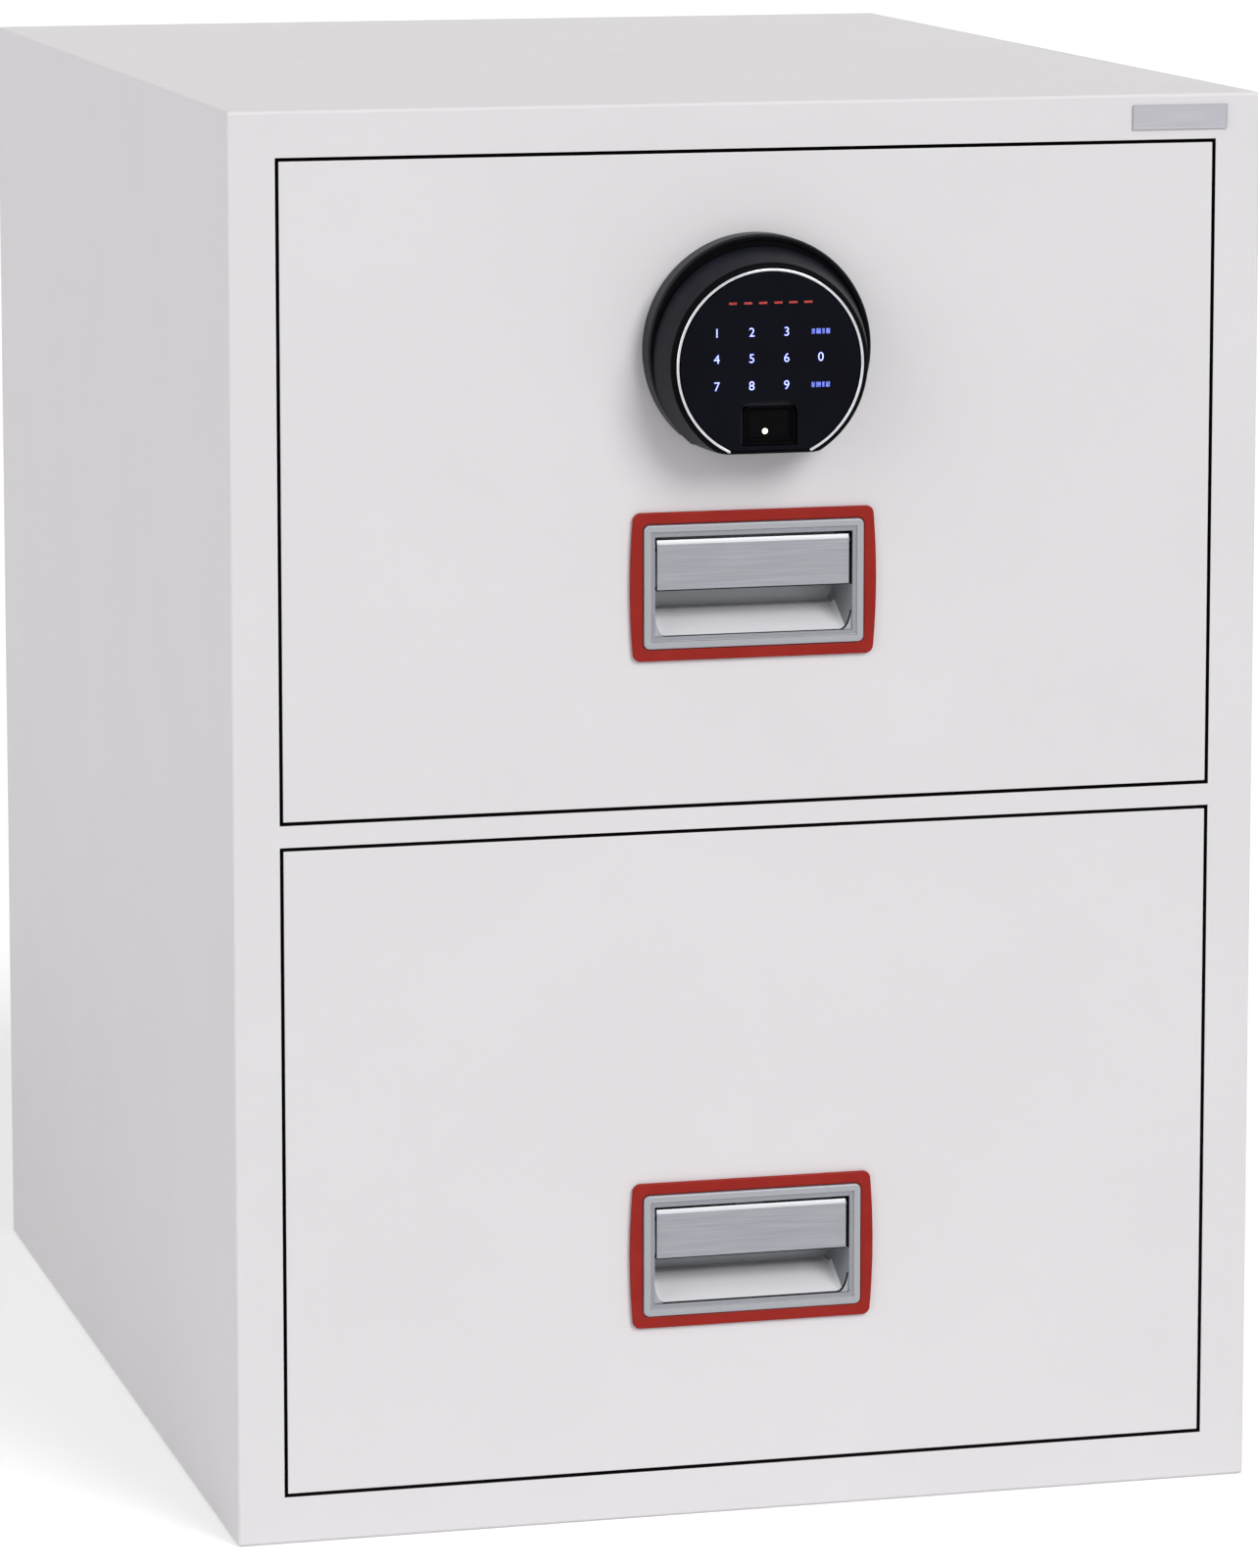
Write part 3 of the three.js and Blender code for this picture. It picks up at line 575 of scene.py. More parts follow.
def copy_of(piece, name, move=(0, 0, 0), mirrored=False):
    """A copy with a mesh of its own, moved, or mirrored in the middle plane of the cabinet."""
    take(piece)
    bpy.ops.object.duplicate(linked=False)
    copy = bpy.context.object
    copy.location = move
    if mirrored:
        copy.scale = (-1, 1, 1)
    settle(name)
    with editing(copy):
        bpy.ops.mesh.select_all(action="SELECT")
        bpy.ops.mesh.normals_make_consistent(inside=False)
    return copy


def softened(node, name, width, segments=2):
    """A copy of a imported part, merged, with its edges rounded."""
    deselect_all()
    mesh = frame["nodes"][node].data.copy()
    piece = bpy.data.objects.new(name, mesh)
    mesh.name = name
    bpy.context.scene.collection.objects.link(piece)
    with editing(piece):
        bpy.ops.mesh.select_all(action="SELECT")
        bpy.ops.mesh.remove_doubles(threshold=tiny / 10)
        bpy.ops.mesh.dissolve_limited(angle_limit=math.radians(1))
    round_edges(piece, width, segments)
    return piece


def round_edges(piece, width, segments=3, above=40):
    """Rounds every edge that is sharper than so many degrees."""
    modify(piece, "BEVEL", width=width, segments=segments, limit_method="ANGLE",
           angle_limit=math.radians(above), use_clamp_overlap=True, harden_normals=False)


def smooth(piece, below=35):
    """Shades the piece smooth, apart from edges sharper than so many degrees."""
    take(piece)
    bpy.ops.object.shade_smooth_by_angle(angle=math.radians(below))
    modify(piece, "WEIGHTED_NORMAL", keep_sharp=True)


def hand_in(piece, body, material, slot, *nodes):
    """Gives a finished piece its surface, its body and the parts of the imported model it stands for."""
    piece.data.materials.clear()
    piece.data.materials.append(material)
    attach(piece, body)
    if nodes:
        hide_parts(*nodes)
    print(piece.name, "has", len(piece.data.polygons), "faces")


def coat(piece, material, test):
    """Gives a second surface to the faces of a finished piece that pass the test."""
    piece.data.materials.append(material)
    with editing(piece):
        pick_faces(test)
        piece.active_material_index = len(piece.data.materials) - 1
        bpy.ops.object.material_slot_assign()


print("a piece ends with its surface and its body")

# %% [markdown]
# ## Casing
#
# The casing is one folded and welded sheet of steel: two sides, top, bottom and a front frame whose
# edges are folded back round each drawer. It could be built from five plates, but the folds would
# then show as seams. Instead a block is rounded, its back is taken off, the two windows are cut and
# drawn inwards as jambs, and the skin is given the thickness of the sheet.

# %% Sizes of the casing
casing_low, casing_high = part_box("outer_casing")
front = casing_low.y
sheet = 1.5 * mm
casing_edge = 1.8 * mm
jamb_edge = 0.4 * mm
past_edge = 0.75
jamb_depth = 27 * mm
reveal = 1.3 * mm
levels = ("lower", "upper")


def opening(level):
    """Lowest and highest corner of the window round a drawer front."""
    low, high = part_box(f"{level}_head_skin")
    return low.x - reveal, low.z - reveal, high.x + reveal, high.z + reveal


print("windows:", [[round(value / mm, 1) for value in opening(level)] for level in levels])

# %% Space of a latch bar and of the lock bolt
slot_gap = 0.5 * mm
sleeve_room = 2.3 * mm


def latch_slot(level, low_x, high_x):
    """Block of air in which the latch bar slides."""
    low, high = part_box(f"{level}_latch_bar")
    return start_block("latch_slot", (low_x, low.y - slot_gap, low.z - slot_gap),
                       (high_x, high.y + slot_gap, high.z + slot_gap))


def bolt_slot(low_z, high_z, margin=slot_gap):
    """Block of air in which the lock bolt slides."""
    low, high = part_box("lock_bolt")
    return start_block("bolt_slot", (low.x - margin, low.y - margin, low_z),
                       (high.x + margin, high.y + margin, high_z))


print("slots leave", slot_gap / mm, "mm round the bars, and", sleeve_room / mm, "mm for the bolt's sleeve")

# %% Casing
def cut_windows():
    """Cuts the two windows in the front and draws their edges inwards."""
    facing_front = lambda middle, out: out.y < -0.99
    for level in levels:
        x0, z0, x1, z1 = opening(level)
        for place, normal in (((x0, 0, 0), (1, 0, 0)), ((x1, 0, 0), (1, 0, 0)),
                              ((0, 0, z0), (0, 0, 1)), ((0, 0, z1), (0, 0, 1))):
            pick_faces(facing_front)
            slice_at(place, normal)
    for level in levels:
        x0, z0, x1, z1 = opening(level)
        pick_faces(lambda middle, out: out.y < -0.99 and x0 < middle.x < x1 and z0 < middle.z < z1)
        extrude_by((0, jamb_depth, 0))
        bpy.ops.mesh.delete(type="FACE")


def make_casing():
    casing = start_block("casing", casing_low, casing_high)
    with editing(casing):
        pick_edges(lambda middle, along: abs(along.y) > 0.9 or middle.y < front + tiny)
        bpy.ops.mesh.bevel(offset=casing_edge, segments=6, affect="EDGES")
        pick_faces(lambda middle, out: out.y > 0.9)
        bpy.ops.mesh.delete(type="ONLY_FACE")
        cut_windows()
        pick_edges(lambda middle, along: middle.y < front + tiny and on_window_edge(middle))
        bpy.ops.mesh.bevel(offset=jamb_edge, segments=3, affect="EDGES")
    modify(casing, "SOLIDIFY", thickness=sheet, offset=-1)
    side = opening("lower")[0]
    for level in levels:
        cut_away(casing, latch_slot(level, side - past, side + past))
    rail_low, rail_high = opening("lower")[3], opening("upper")[1]
    cut_away(casing, bolt_slot(rail_low - past, rail_high + past, margin=sleeve_room))
    smooth(casing)
    return casing


def on_window_edge(middle):
    """Whether a place on the front lies on the edge of a window."""
    for level in levels:
        x0, z0, x1, z1 = opening(level)
        on_side = min(abs(middle.x - x0), abs(middle.x - x1)) < tiny and z0 < middle.z < z1
        on_end = min(abs(middle.z - z0), abs(middle.z - z1)) < tiny and x0 < middle.x < x1
        if on_side or on_end:
            return True
    return False


def in_jamb(middle, out):
    """Whether a face lies in the gap round a drawer front, from the middle of the rounded edge inwards."""
    deep = middle.y < front + jamb_depth + near
    return deep and abs(out.y) < past_edge and any(facing_gap(middle, opening(level)) for level in levels)


def facing_gap(middle, window):
    x0, z0, x1, z1 = window
    edge = jamb_edge
    at_side = min(abs(middle.x - x0), abs(middle.x - x1)) < edge
    at_end = min(abs(middle.z - z0), abs(middle.z - z1)) < edge
    return x0 - edge < middle.x < x1 + edge and z0 - edge < middle.z < z1 + edge and (at_side or at_end)


casing = make_casing()
hand_in(casing, "cabinet", white_paint, "white_paint", "outer_casing")
# The jambs are painted black from the middle of their rounded edge inwards: painted shade in the gap round
# each drawer.
coat(casing, painted_shade_coat, in_jamb)

# %% [markdown]
# ## Drawer fronts
#
# Each front is a shallow steel tray with rounded edges that sits flush in its window. It is made like
# the casing, with a window for the handle's pocket and slots for the latch and the lock's bolt.

# %% Drawer fronts
skin_sheet = 1.2 * mm
skin_edge = 0.8 * mm
air_half_width = 51 * mm
air_half_height = 25 * mm
pocket_wall = 1.8 * mm


def pocket_box(level):
    """Middle height and half sizes of the handle's pocket, outside."""
    low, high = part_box(f"{level}_handle_cup")
    middle = (low.z + high.z) / 2
    return middle, air_half_width + pocket_wall, air_half_height + pocket_wall


def make_front(level):
    low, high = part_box(f"{level}_head_skin")
    skin = start_block(f"{level}_front", low, high)
    with editing(skin):
        pick_edges(lambda middle, along: abs(along.y) > 0.9 or middle.y < front + tiny)
        bpy.ops.mesh.bevel(offset=skin_edge, segments=5, affect="EDGES")
        pick_faces(lambda middle, out: out.y > 0.9)
        bpy.ops.mesh.delete(type="ONLY_FACE")
    modify(skin, "SOLIDIFY", thickness=skin_sheet, offset=-1)
    middle, half_width, half_height = pocket_box(level)
    gap = slot_gap
    cut_away(skin, start_block("window", (-half_width - gap, front - past, middle - half_height - gap),
                               (half_width + gap, front + past, middle + half_height + gap)))
    cut_away(skin, latch_slot(level, low.x - past, low.x + past))
    edge = low.z if level == "upper" else high.z
    cut_away(skin, bolt_slot(edge - past, edge + past))
    smooth(skin)
    return skin


for level in levels:
    skin = make_front(level)
    hand_in(skin, f"{level}_drawer", white_paint, "white_paint", f"{level}_head_skin")
    # The front's returns, the faces round its edges, are painted black: painted shade in the gap round the
    # drawer.
    coat(skin, painted_shade_coat, lambda middle, out: abs(out.y) < past_edge)

# %% [markdown]
# ## Handles
#
# A handle has three parts. A red surround, whose sides bow outwards, covers the cut in the sheet. In it
# sits a silver frame with a pocket. The upper half of the pocket is closed by the flap, and its floor
# is a scoop that leads the fingers up behind the flap.

# %% Red surround
bezel_corner = 62.2 * mm
bezel_middle = 63.6 * mm
bezel_radius = 4 * mm
bezel_rows = 14
bezel_edge = 0.7 * mm
window_corner = 3.2 * mm


def bow(share):
    """How much wider the surround is at a share of its height, as a factor."""
    return 1 + 4 * share * (1 - share) * (bezel_middle - bezel_corner) / bezel_corner


def make_bezel(level):
    low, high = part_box(f"{level}_handle_bezel")
    bezel = start_block(f"{level}_surround", (-bezel_corner, low.y, low.z), (bezel_corner, high.y, high.z))
    foot, reach = low.z + bezel_radius, high.z - low.z - 2 * bezel_radius
    with editing(bezel):
        pick_edges(lambda middle, along: abs(along.y) > 0.9)
        bpy.ops.mesh.bevel(offset=bezel_radius, segments=8, affect="EDGES")
        heights = [foot + reach * row / bezel_rows for row in range(1, bezel_rows)]
        for height in heights:
            bpy.ops.mesh.select_all(action="SELECT")
            slice_at((0, 0, height), (0, 0, 1))
        for height in heights:
            pick_points(lambda place: abs(place.z - height) < tiny)
            share = (height - foot) / reach
            bpy.ops.transform.resize(value=(bow(share), 1, 1), center_override=(0, 0, 0))
    lip_low, lip_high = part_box(f"{level}_handle_cup")
    window = start_block("window", (lip_low.x - fit, low.y - past, lip_low.z - fit),
                         (lip_high.x + fit, high.y + past, lip_high.z + fit))
    with editing(window):
        pick_edges(lambda middle, along: abs(along.y) > 0.9)
        bpy.ops.mesh.bevel(offset=window_corner, segments=6, affect="EDGES")
    cut_away(bezel, window)
    round_edges(bezel, bezel_edge, segments=4, above=50)
    smooth(bezel)
    return bezel


for level in levels:
    hand_in(make_bezel(level), f"{level}_drawer", red_plastic, "red_plastic", f"{level}_handle_bezel")

# %% [markdown]
# The pocket is easiest to model as the lump of air that it holds: a block whose floor is raised at the
# back and slopes down to the front, with rounded flanks beside the slope. That lump is then cut out of
# the frame.

# %% Air in the pocket
air_depth = 30 * mm
air_reach = 20 * mm
scoop_start = 1 * mm
scoop_end = 20 * mm
scoop_rise = 10.4 * mm
flank_width = 5.5 * mm
flank_height = 13 * mm
mouth_depth = 1.0 * mm


def pocket_air(middle):
    """The air over the scoop. Its lower corners are rounded and drawn out upwards, and its floor climbs."""
    floor_z, top = middle - air_half_height, middle + air_half_height
    squash = flank_width / flank_height
    air = start_block("air", (-air_half_width, front - air_reach, top - squash * (top - floor_z)),
                      (air_half_width, front + air_depth, top))
    with editing(air):
        pick_edges(lambda place, along: abs(along.y) > 0.9 and place.z < top - tiny)
        bpy.ops.mesh.bevel(offset=flank_width, segments=6, affect="EDGES")
        bpy.ops.mesh.select_all(action="SELECT")
        bpy.ops.transform.resize(value=(1, 1, 1 / squash), center_override=(0, 0, top))
        for depth in (scoop_start, scoop_end):
            bpy.ops.mesh.select_all(action="SELECT")
            slice_at((0, front + depth, 0), (0, 1, 0))
        pick_points(lambda place: place.y > front + scoop_end - tiny
                    and place.z < floor_z + flank_height + tiny)
        bpy.ops.transform.translate(value=(0, 0, scoop_rise))
    return air


def mouth_air(middle, band_y):
    """The air in the mouth of the frame, whose corners are sharp."""
    return start_block("mouth", (-air_half_width, front - air_reach, middle - air_half_height),
                       (air_half_width, band_y + mouth_depth, middle + air_half_height))


print("air in the pocket is", 2 * air_half_width / mm, "mm wide")

# %% Silver frame with its pocket
frame_band = 3.5 * mm
frame_step = 0.9 * mm
step_slope = 0.4 * mm
frame_corner = 3 * mm
frame_edge = 0.8 * mm


def step_air(low, high):
    """The air in front of the frame's inner band, which lies deeper than the outer one."""
    air = start_block("step", (low.x + frame_band, low.y - past, low.z + frame_band),
                      (high.x - frame_band, low.y + frame_step, high.z - frame_band))
    with editing(air):
        bpy.ops.mesh.select_all(action="SELECT")
        slice_at((0, low.y, 0), (0, 1, 0))
        pick_faces(lambda place, out: out.y > 0.9)
        narrow = 1 - step_slope / (high.x - frame_band)
        low_narrow = 1 - 2 * step_slope / (high.z - low.z - 2 * frame_band)
        middle = (low.z + high.z) / 2
        bpy.ops.transform.resize(value=(narrow, 1, low_narrow), center_override=(0, 0, middle))
    return air


def make_pocket(level):
    low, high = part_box(f"{level}_handle_cup")
    middle, half_width, half_height = pocket_box(level)
    rear = front - fit
    frame_piece = start_block(f"{level}_pocket", low, (high.x, rear, high.z))
    with editing(frame_piece):
        pick_edges(lambda place, along: abs(along.y) > 0.9)
        bpy.ops.mesh.bevel(offset=frame_corner, segments=6, affect="EDGES")
        pick_edges(lambda place, along: place.y < low.y + tiny)
        bpy.ops.mesh.bevel(offset=frame_edge, segments=4, affect="EDGES")
    box_low = Vector((-half_width, rear - near, middle - half_height))
    box_high = Vector((half_width, high.y, middle + half_height))
    weld_on(frame_piece, start_block("box", box_low, box_high))
    cut_away(frame_piece, step_air(low, high), mouth_air(middle, low.y + frame_step), pocket_air(middle))
    with editing(frame_piece):
        pick_faces(lambda place, out: abs(out.x) > 0.99 and abs(abs(place.x) - air_half_width) < tiny)
        slice_at((0, 0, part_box(f"{level}_handle_flap")[0].z), (0, 0, 1))
    round_edges(frame_piece, fine_edge, segments=2, above=40)
    smooth(frame_piece)
    return frame_piece


def beside_flap(level, middle, out):
    """Whether a face of the pocket is its roof or a wall beside the flap."""
    roof = pocket_box(level)[0] + air_half_height
    wall = abs(out.x) > 0.99 and abs(abs(middle.x) - air_half_width) < tiny
    return (wall or out.z < -0.99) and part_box(f"{level}_handle_flap")[0].z < middle.z < roof + tiny


def on_scoop_rim(level, middle, out):
    """Whether a face lies on the narrow rim, in front of the scoop, where it meets the frame's inner band."""
    rim_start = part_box(f"{level}_handle_cup")[0].y + frame_step
    deep = rim_start + tiny < middle.y < front + scoop_start - tiny
    below_flap = middle.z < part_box(f"{level}_handle_flap")[0].z
    drop = pocket_box(level)[0] - middle.z
    within = abs(middle.x) < air_half_width + fit and drop < air_half_height + fit
    return deep and below_flap and within and abs(out.x) < 0.99 and out.y > -0.99


for level in levels:
    pocket = make_pocket(level)
    hand_in(pocket, f"{level}_drawer", silver, "silver_paint", f"{level}_handle_cup")
    scoop_top = pocket_box(level)[0] - air_half_height + scoop_rise
    # The upward faces of the scoop get the paler silver: painted light.
    coat(pocket, painted_light_silver, lambda middle, out: out.z > 0.6 and middle.y > front + tiny
         and middle.z < scoop_top + near and middle.y < front + air_depth)
    band_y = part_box(f"{level}_handle_cup")[0].y + frame_step
    coat(pocket, dark_silver, lambda middle, out: out.y < -0.99 and abs(middle.y - band_y) < tiny)
    # The pocket's roof, its walls beside the flap and the narrow rim in front of the scoop are painted black:
    # painted shade.
    coat(pocket, painted_shade_coat, lambda middle, out: beside_flap(level, middle, out)
         or on_scoop_rim(level, middle, out))

# %% [markdown]
# The flap hangs on a pin under the roof of the pocket. It is a brushed plate with a chamfer along its top, a
# lip for the fingers along its lower edge, and a barrel for the pin. The chamfer is coloured paler, a painted
# highlight. Its top and side faces and the small chamfer along its foot are painted black, as the walls
# beside it are: painted shade, so that it stands out by a dark line all round. Its top stays a little lower
# than the imported one, which leaves room for it to swing.

# %% Flap
flap_thickness = 2.5 * mm
cut_height = 2.2 * mm
cut_depth = 0.8 * mm
lip_height = 1.8 * mm
lip_depth = 5 * mm
foot_height = 0.7 * mm
foot_depth = 0.5 * mm
barrel_radius = 3 * mm
pin_hole_radius = 1.8 * mm
swing_room = 0.6 * mm


def bar_across(name, radius, length, middle):
    """A round bar that lies across the cabinet, with its middle at a height and depth."""
    deselect_all()
    bpy.ops.mesh.primitive_cylinder_add(vertices=48, radius=radius, depth=length,
                                        location=(0, middle.y, middle.z), rotation=(0, math.radians(90), 0))
    return settle(name)


def make_flap(level):
    low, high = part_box(f"{level}_handle_flap")
    high.z -= swing_room
    pin_low, pin_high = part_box(f"{level}_flap_pin")
    pin = (pin_low + pin_high) / 2
    rear = low.y + flap_thickness
    flap = start_block(f"{level}_flap", low, (high.x, rear, high.z))
    with editing(flap):
        bpy.ops.mesh.select_all(action="SELECT")
        slice_at((0, 0, low.z + lip_height), (0, 0, 1))
        pick_faces(lambda place, out: out.y > 0.9 and place.z < low.z + lip_height)
        extrude_by((0, lip_depth - flap_thickness, 0))
        bpy.ops.mesh.select_all(action="SELECT")
        slice_at((0, 0, high.z - cut_height), (0, 0, 1))
        pick_points(lambda place: place.y < low.y + tiny and place.z > high.z - tiny)
        bpy.ops.transform.translate(value=(0, cut_depth, 0))
        bpy.ops.mesh.select_all(action="SELECT")
        slice_at((0, 0, low.z + foot_height), (0, 0, 1))
        pick_points(lambda place: place.y < low.y + tiny and place.z < low.z + tiny)
        bpy.ops.transform.translate(value=(0, foot_depth, 0))
    weld_on(flap, bar_across("barrel", barrel_radius, high.x - low.x, pin))
    spring_low, spring_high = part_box(f"{level}_flap_spring")
    notch_rear = pin.y + barrel_radius + past
    cut_away(flap, start_block("notch", (spring_low.x - slot_gap, rear - near, spring_low.z - near),
                               (spring_high.x + slot_gap, notch_rear, high.z + near)))
    cut_away(flap, bar_across("pin_hole", pin_hole_radius, high.x - low.x + 2 * past, pin))
    round_edges(flap, fine_edge, segments=2, above=30)
    smooth(flap, below=25)
    return flap


for level in levels:
    flap = make_flap(level)
    hand_in(flap, f"{level}_flap", brushed_flap, "brushed_flap", f"{level}_handle_flap")
    # The top chamfer gets the paler metal: a painted highlight.
    coat(flap, painted_highlight, lambda middle, out: out.y < -0.8 and 0.2 < out.z < 0.5)
    # The flap's top and side faces and the chamfer along its foot are painted black: painted shade round the
    # flap.
    coat(flap, painted_shade_coat, lambda middle, out: out.z > 0.9 or abs(out.x) > 0.9
         or (out.z < -0.3 and out.y < -0.3))

# %% [markdown]
# ## Lock
#
# The lock's outside is a round unit in black plastic. A disc with a bevelled rim stands on the drawer
# front, and a tapered housing stands on the disc. The face carries a chrome ring that is open at the
# bottom, a touch panel, and a recess for the finger. Both round parts are cut flat along the bottom.

# %% Sizes of the lock
base_low, base_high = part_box("keypad_base")
house_low, house_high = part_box("keypad_housing")
ring_low, ring_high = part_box("chrome_ring")
panel_low, panel_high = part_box("touch_panel")
finger_low, finger_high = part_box("fingerprint_sensor")
chin = base_low.z
base_radius = base_high.x
base_z = base_high.z - base_radius
house_trim = 0.8 * mm
house_radius = house_high.x - house_trim
house_z = house_high.z - house_high.x
face = house_low.y
face_radius = 50 * mm
shoulder = 1.8 * mm
ring_radius = 47.15 * mm
ring_half = 0.75 * mm
face_z = ring_high.z - ring_radius - ring_half
print("lock face:", round(face_z / mm, 1), "mm up,", round((front - face) / mm, 1), "mm proud")

# %% Air below the chin
chin_steps = 6
chin_air = 100 * mm


def below_chin(flat, reach, radius, wider_behind=1.0):
    """Air below the flat cut. Past half the flat width it curves up, so that the cut's ends are round."""
    air = start_block("below_chin", (-chin_air, front - chin_air, chin - chin_air),
                      (chin_air, front + chin_air / 2, chin))
    places = [flat + (reach - flat) * step / chin_steps for step in range(1, chin_steps + 1)]
    rises = [radius - math.sqrt(radius ** 2 - (x - flat) ** 2) for x in places]
    with editing(air):
        for x in [flat] + places:
            for side in (-1, 1):
                bpy.ops.mesh.select_all(action="SELECT")
                slice_at((side * x, 0, 0), (1, 0, 0))
        for x, rise, before in zip(places, rises, [0] + rises):
            pick_points(lambda place: place.z > chin - tiny and abs(place.x) > x - tiny)
            bpy.ops.transform.translate(value=(0, 0, rise - before))
        pick_points(lambda place: place.y > front)
        bpy.ops.transform.resize(value=(wider_behind, 1, 1), center_override=(0, 0, 0))
    return air


print("the ends of the cut curve up in", chin_steps, "steps")

# %% Base disc
base_back_bevel = 0.5 * mm
base_rim = 1.2 * mm
groove_slope = 0.3 * mm
groove_depth = 1.2 * mm
base_flat = 17 * mm
base_reach = 37 * mm
base_curve = 32 * mm
base_edge = 0.35 * mm
base_bevel = 1.6 * mm


def make_base():
    disc = start_round("lock_base", base_radius, base_low.y, base_high.y, 0, base_z, sides=160)
    with editing(disc):
        pick_edges(lambda place, along: place.y < base_low.y + tiny)
        bpy.ops.mesh.bevel(offset=base_bevel, segments=4, affect="EDGES")
        pick_edges(lambda place, along: place.y > base_high.y - tiny)
        bpy.ops.mesh.bevel(offset=base_back_bevel, segments=2, affect="EDGES")
        pick_faces(lambda place, out: out.y < -0.99)
        bpy.ops.mesh.inset(thickness=base_rim)
        bpy.ops.mesh.inset(thickness=groove_slope, depth=-groove_depth)
    cut_away(disc, below_chin(base_flat, base_reach, base_curve))
    round_edges(disc, base_edge, segments=2, above=60)
    smooth(disc)
    return disc


base = make_base()
hand_in(base, "upper_drawer", black_plastic, "black_plastic", "keypad_base")
# The base's front face, its groove and the inner half of its bevel are painted blacker: painted shade round
# the housing.
coat(base, painted_shade_plastic, lambda middle, out: middle.y < base_low.y + groove_depth + 5 * tiny
     and Vector((middle.x, middle.z - base_z)).length < base_radius - base_bevel / 2)

# %% [markdown]
# The housing tapers towards its face and leans down slightly. It starts as a cylinder whose front end
# is drawn in and lowered, and whose edge there is a rounded shoulder. The same shape, made smaller, is
# then cut out from behind, so that there is room for the circuit board and the battery.

# %% Housing
house_wall = 3 * mm
recess_depth = 2.3 * mm
rim_height = 1.2 * mm
ring_gap = 0.15 * mm
house_flat = 18 * mm
house_reach = 30 * mm
house_curve = 22 * mm
house_widening = 1.25
house_edge = 0.5 * mm


def tapered(name, rear, nose, shrink=0.0):
    """A cylinder between two depths that follows the taper of the housing, smaller all round by shrink."""
    def at(y):
        share = (house_high.y - y) / (house_high.y - face)
        radius = house_radius + share * (face_radius - house_radius) - shrink
        return radius, house_z + share * (face_z - house_z)
    rear_radius, rear_z = at(rear)
    nose_radius, nose_z = at(nose)
    cone = start_round(name, rear_radius, nose, rear, 0, rear_z, sides=160)
    factor = nose_radius / rear_radius
    with editing(cone):
        pick_points(lambda place: place.y < nose + tiny)
        bpy.ops.transform.resize(value=(factor, 1, factor), center_override=(0, nose, rear_z))
        bpy.ops.transform.translate(value=(0, 0, nose_z - rear_z))
    return cone


def make_housing():
    house = tapered("lock_housing", house_high.y, face)
    with editing(house):
        pick_edges(lambda place, along: place.y < face + tiny)
        bpy.ops.mesh.bevel(offset=shoulder, segments=5, affect="EDGES")
    cut_away(house, below_chin(house_flat, house_reach, house_curve, wider_behind=house_widening))
    round_edges(house, house_edge, segments=3, above=60)
    hollow = tapered("hollow", house_high.y + near, face + recess_depth + house_wall, shrink=house_wall)
    with editing(hollow):
        bpy.ops.mesh.select_all(action="SELECT")
        bpy.ops.mesh.bisect(plane_co=(0, 0, chin + house_wall), plane_no=(0, 0, 1),
                            clear_inner=True, use_fill=True)
    recess = start_round("recess", ring_radius + ring_half + ring_gap, face - past,
                         face + recess_depth, 0, face_z, sides=160)
    with editing(recess):
        bpy.ops.mesh.select_all(action="SELECT")
        bpy.ops.mesh.bisect(plane_co=(0, 0, chin + rim_height), plane_no=(0, 0, 1),
                            clear_inner=True, use_fill=True)
    pit = start_block("pit", (finger_low.x - fit, face - past, finger_low.z - fit),
                      (finger_high.x + fit, finger_high.y + fit, finger_high.z + fit))
    cut_away(house, hollow, recess, pit)
    smooth(house)
    return house


house = make_housing()
hand_in(house, "upper_drawer", black_plastic, "black_plastic", "keypad_housing")
# The housing's shoulder round the ring and its flat cut along the bottom are painted blacker: painted shade.
coat(house, painted_shade_plastic, lambda middle, out: middle.y < face + shoulder or middle.z < chin + tiny)

# %% [markdown]
# The ring is a small rounded profile carried round the face. Spin turns the profile about the middle
# of the face, from the top down to the open part. That is one half, and a mirror modifier gives the
# other, so that both ends are alike.

# %% Chrome ring
ring_steps = 84
ring_edge = 0.55 * mm
ring_lift = 0.4 * mm


def make_ring():
    half_turn = math.acos((chin + ring_lift - face_z) / (ring_radius + ring_half))
    top = face_z + ring_radius
    ring = start_block("lock_ring", (-tiny, ring_low.y, top - ring_half), (0, ring_high.y, top + ring_half))
    with editing(ring):
        pick_faces(lambda place, out: out.x < 0.9)
        bpy.ops.mesh.delete(type="FACE")
        pick_points(lambda place: place.y < ring_low.y + tiny)
        bpy.ops.mesh.bevel(offset=ring_edge, segments=4, affect="VERTICES")
        bpy.ops.mesh.select_all(action="SELECT")
        bpy.ops.mesh.spin(steps=ring_steps, angle=half_turn, center=(0, 0, face_z), axis=(0, 1, 0))
        pick_faces(lambda place, out: abs(place.x) < tiny and abs(out.x) > 0.99 and place.z > face_z)
        bpy.ops.mesh.delete(type="FACE")
    modify(ring, "MIRROR", use_axis=(True, False, False), use_mirror_merge=True, merge_threshold=tiny / 10)
    with editing(ring):
        bpy.ops.mesh.select_all(action="SELECT")
        bpy.ops.mesh.normals_make_consistent(inside=False)
    round_edges(ring, fine_edge, segments=2, above=70)
    smooth(ring, below=50)
    return ring


hand_in(make_ring(), "upper_drawer", chrome_ring, "chrome_ring", "chrome_ring")

# %% Touch panel
notch_left = 1.6 * mm
notch_top = 2.6 * mm
notch_corner = 6 * mm


def finger_notch():
    """Block of air over the finger sensor, wider to the left and at the top, with rounded upper corners."""
    notch = start_block("notch", (finger_low.x - notch_left, face - past, finger_low.z - fit),
                        (finger_high.x + fit, face + 2 * past, finger_high.z + notch_top))
    with editing(notch):
        pick_edges(lambda place, along: abs(along.y) > 0.9 and place.z > finger_high.z)
        bpy.ops.mesh.bevel(offset=notch_corner, segments=8, affect="EDGES")
    return notch


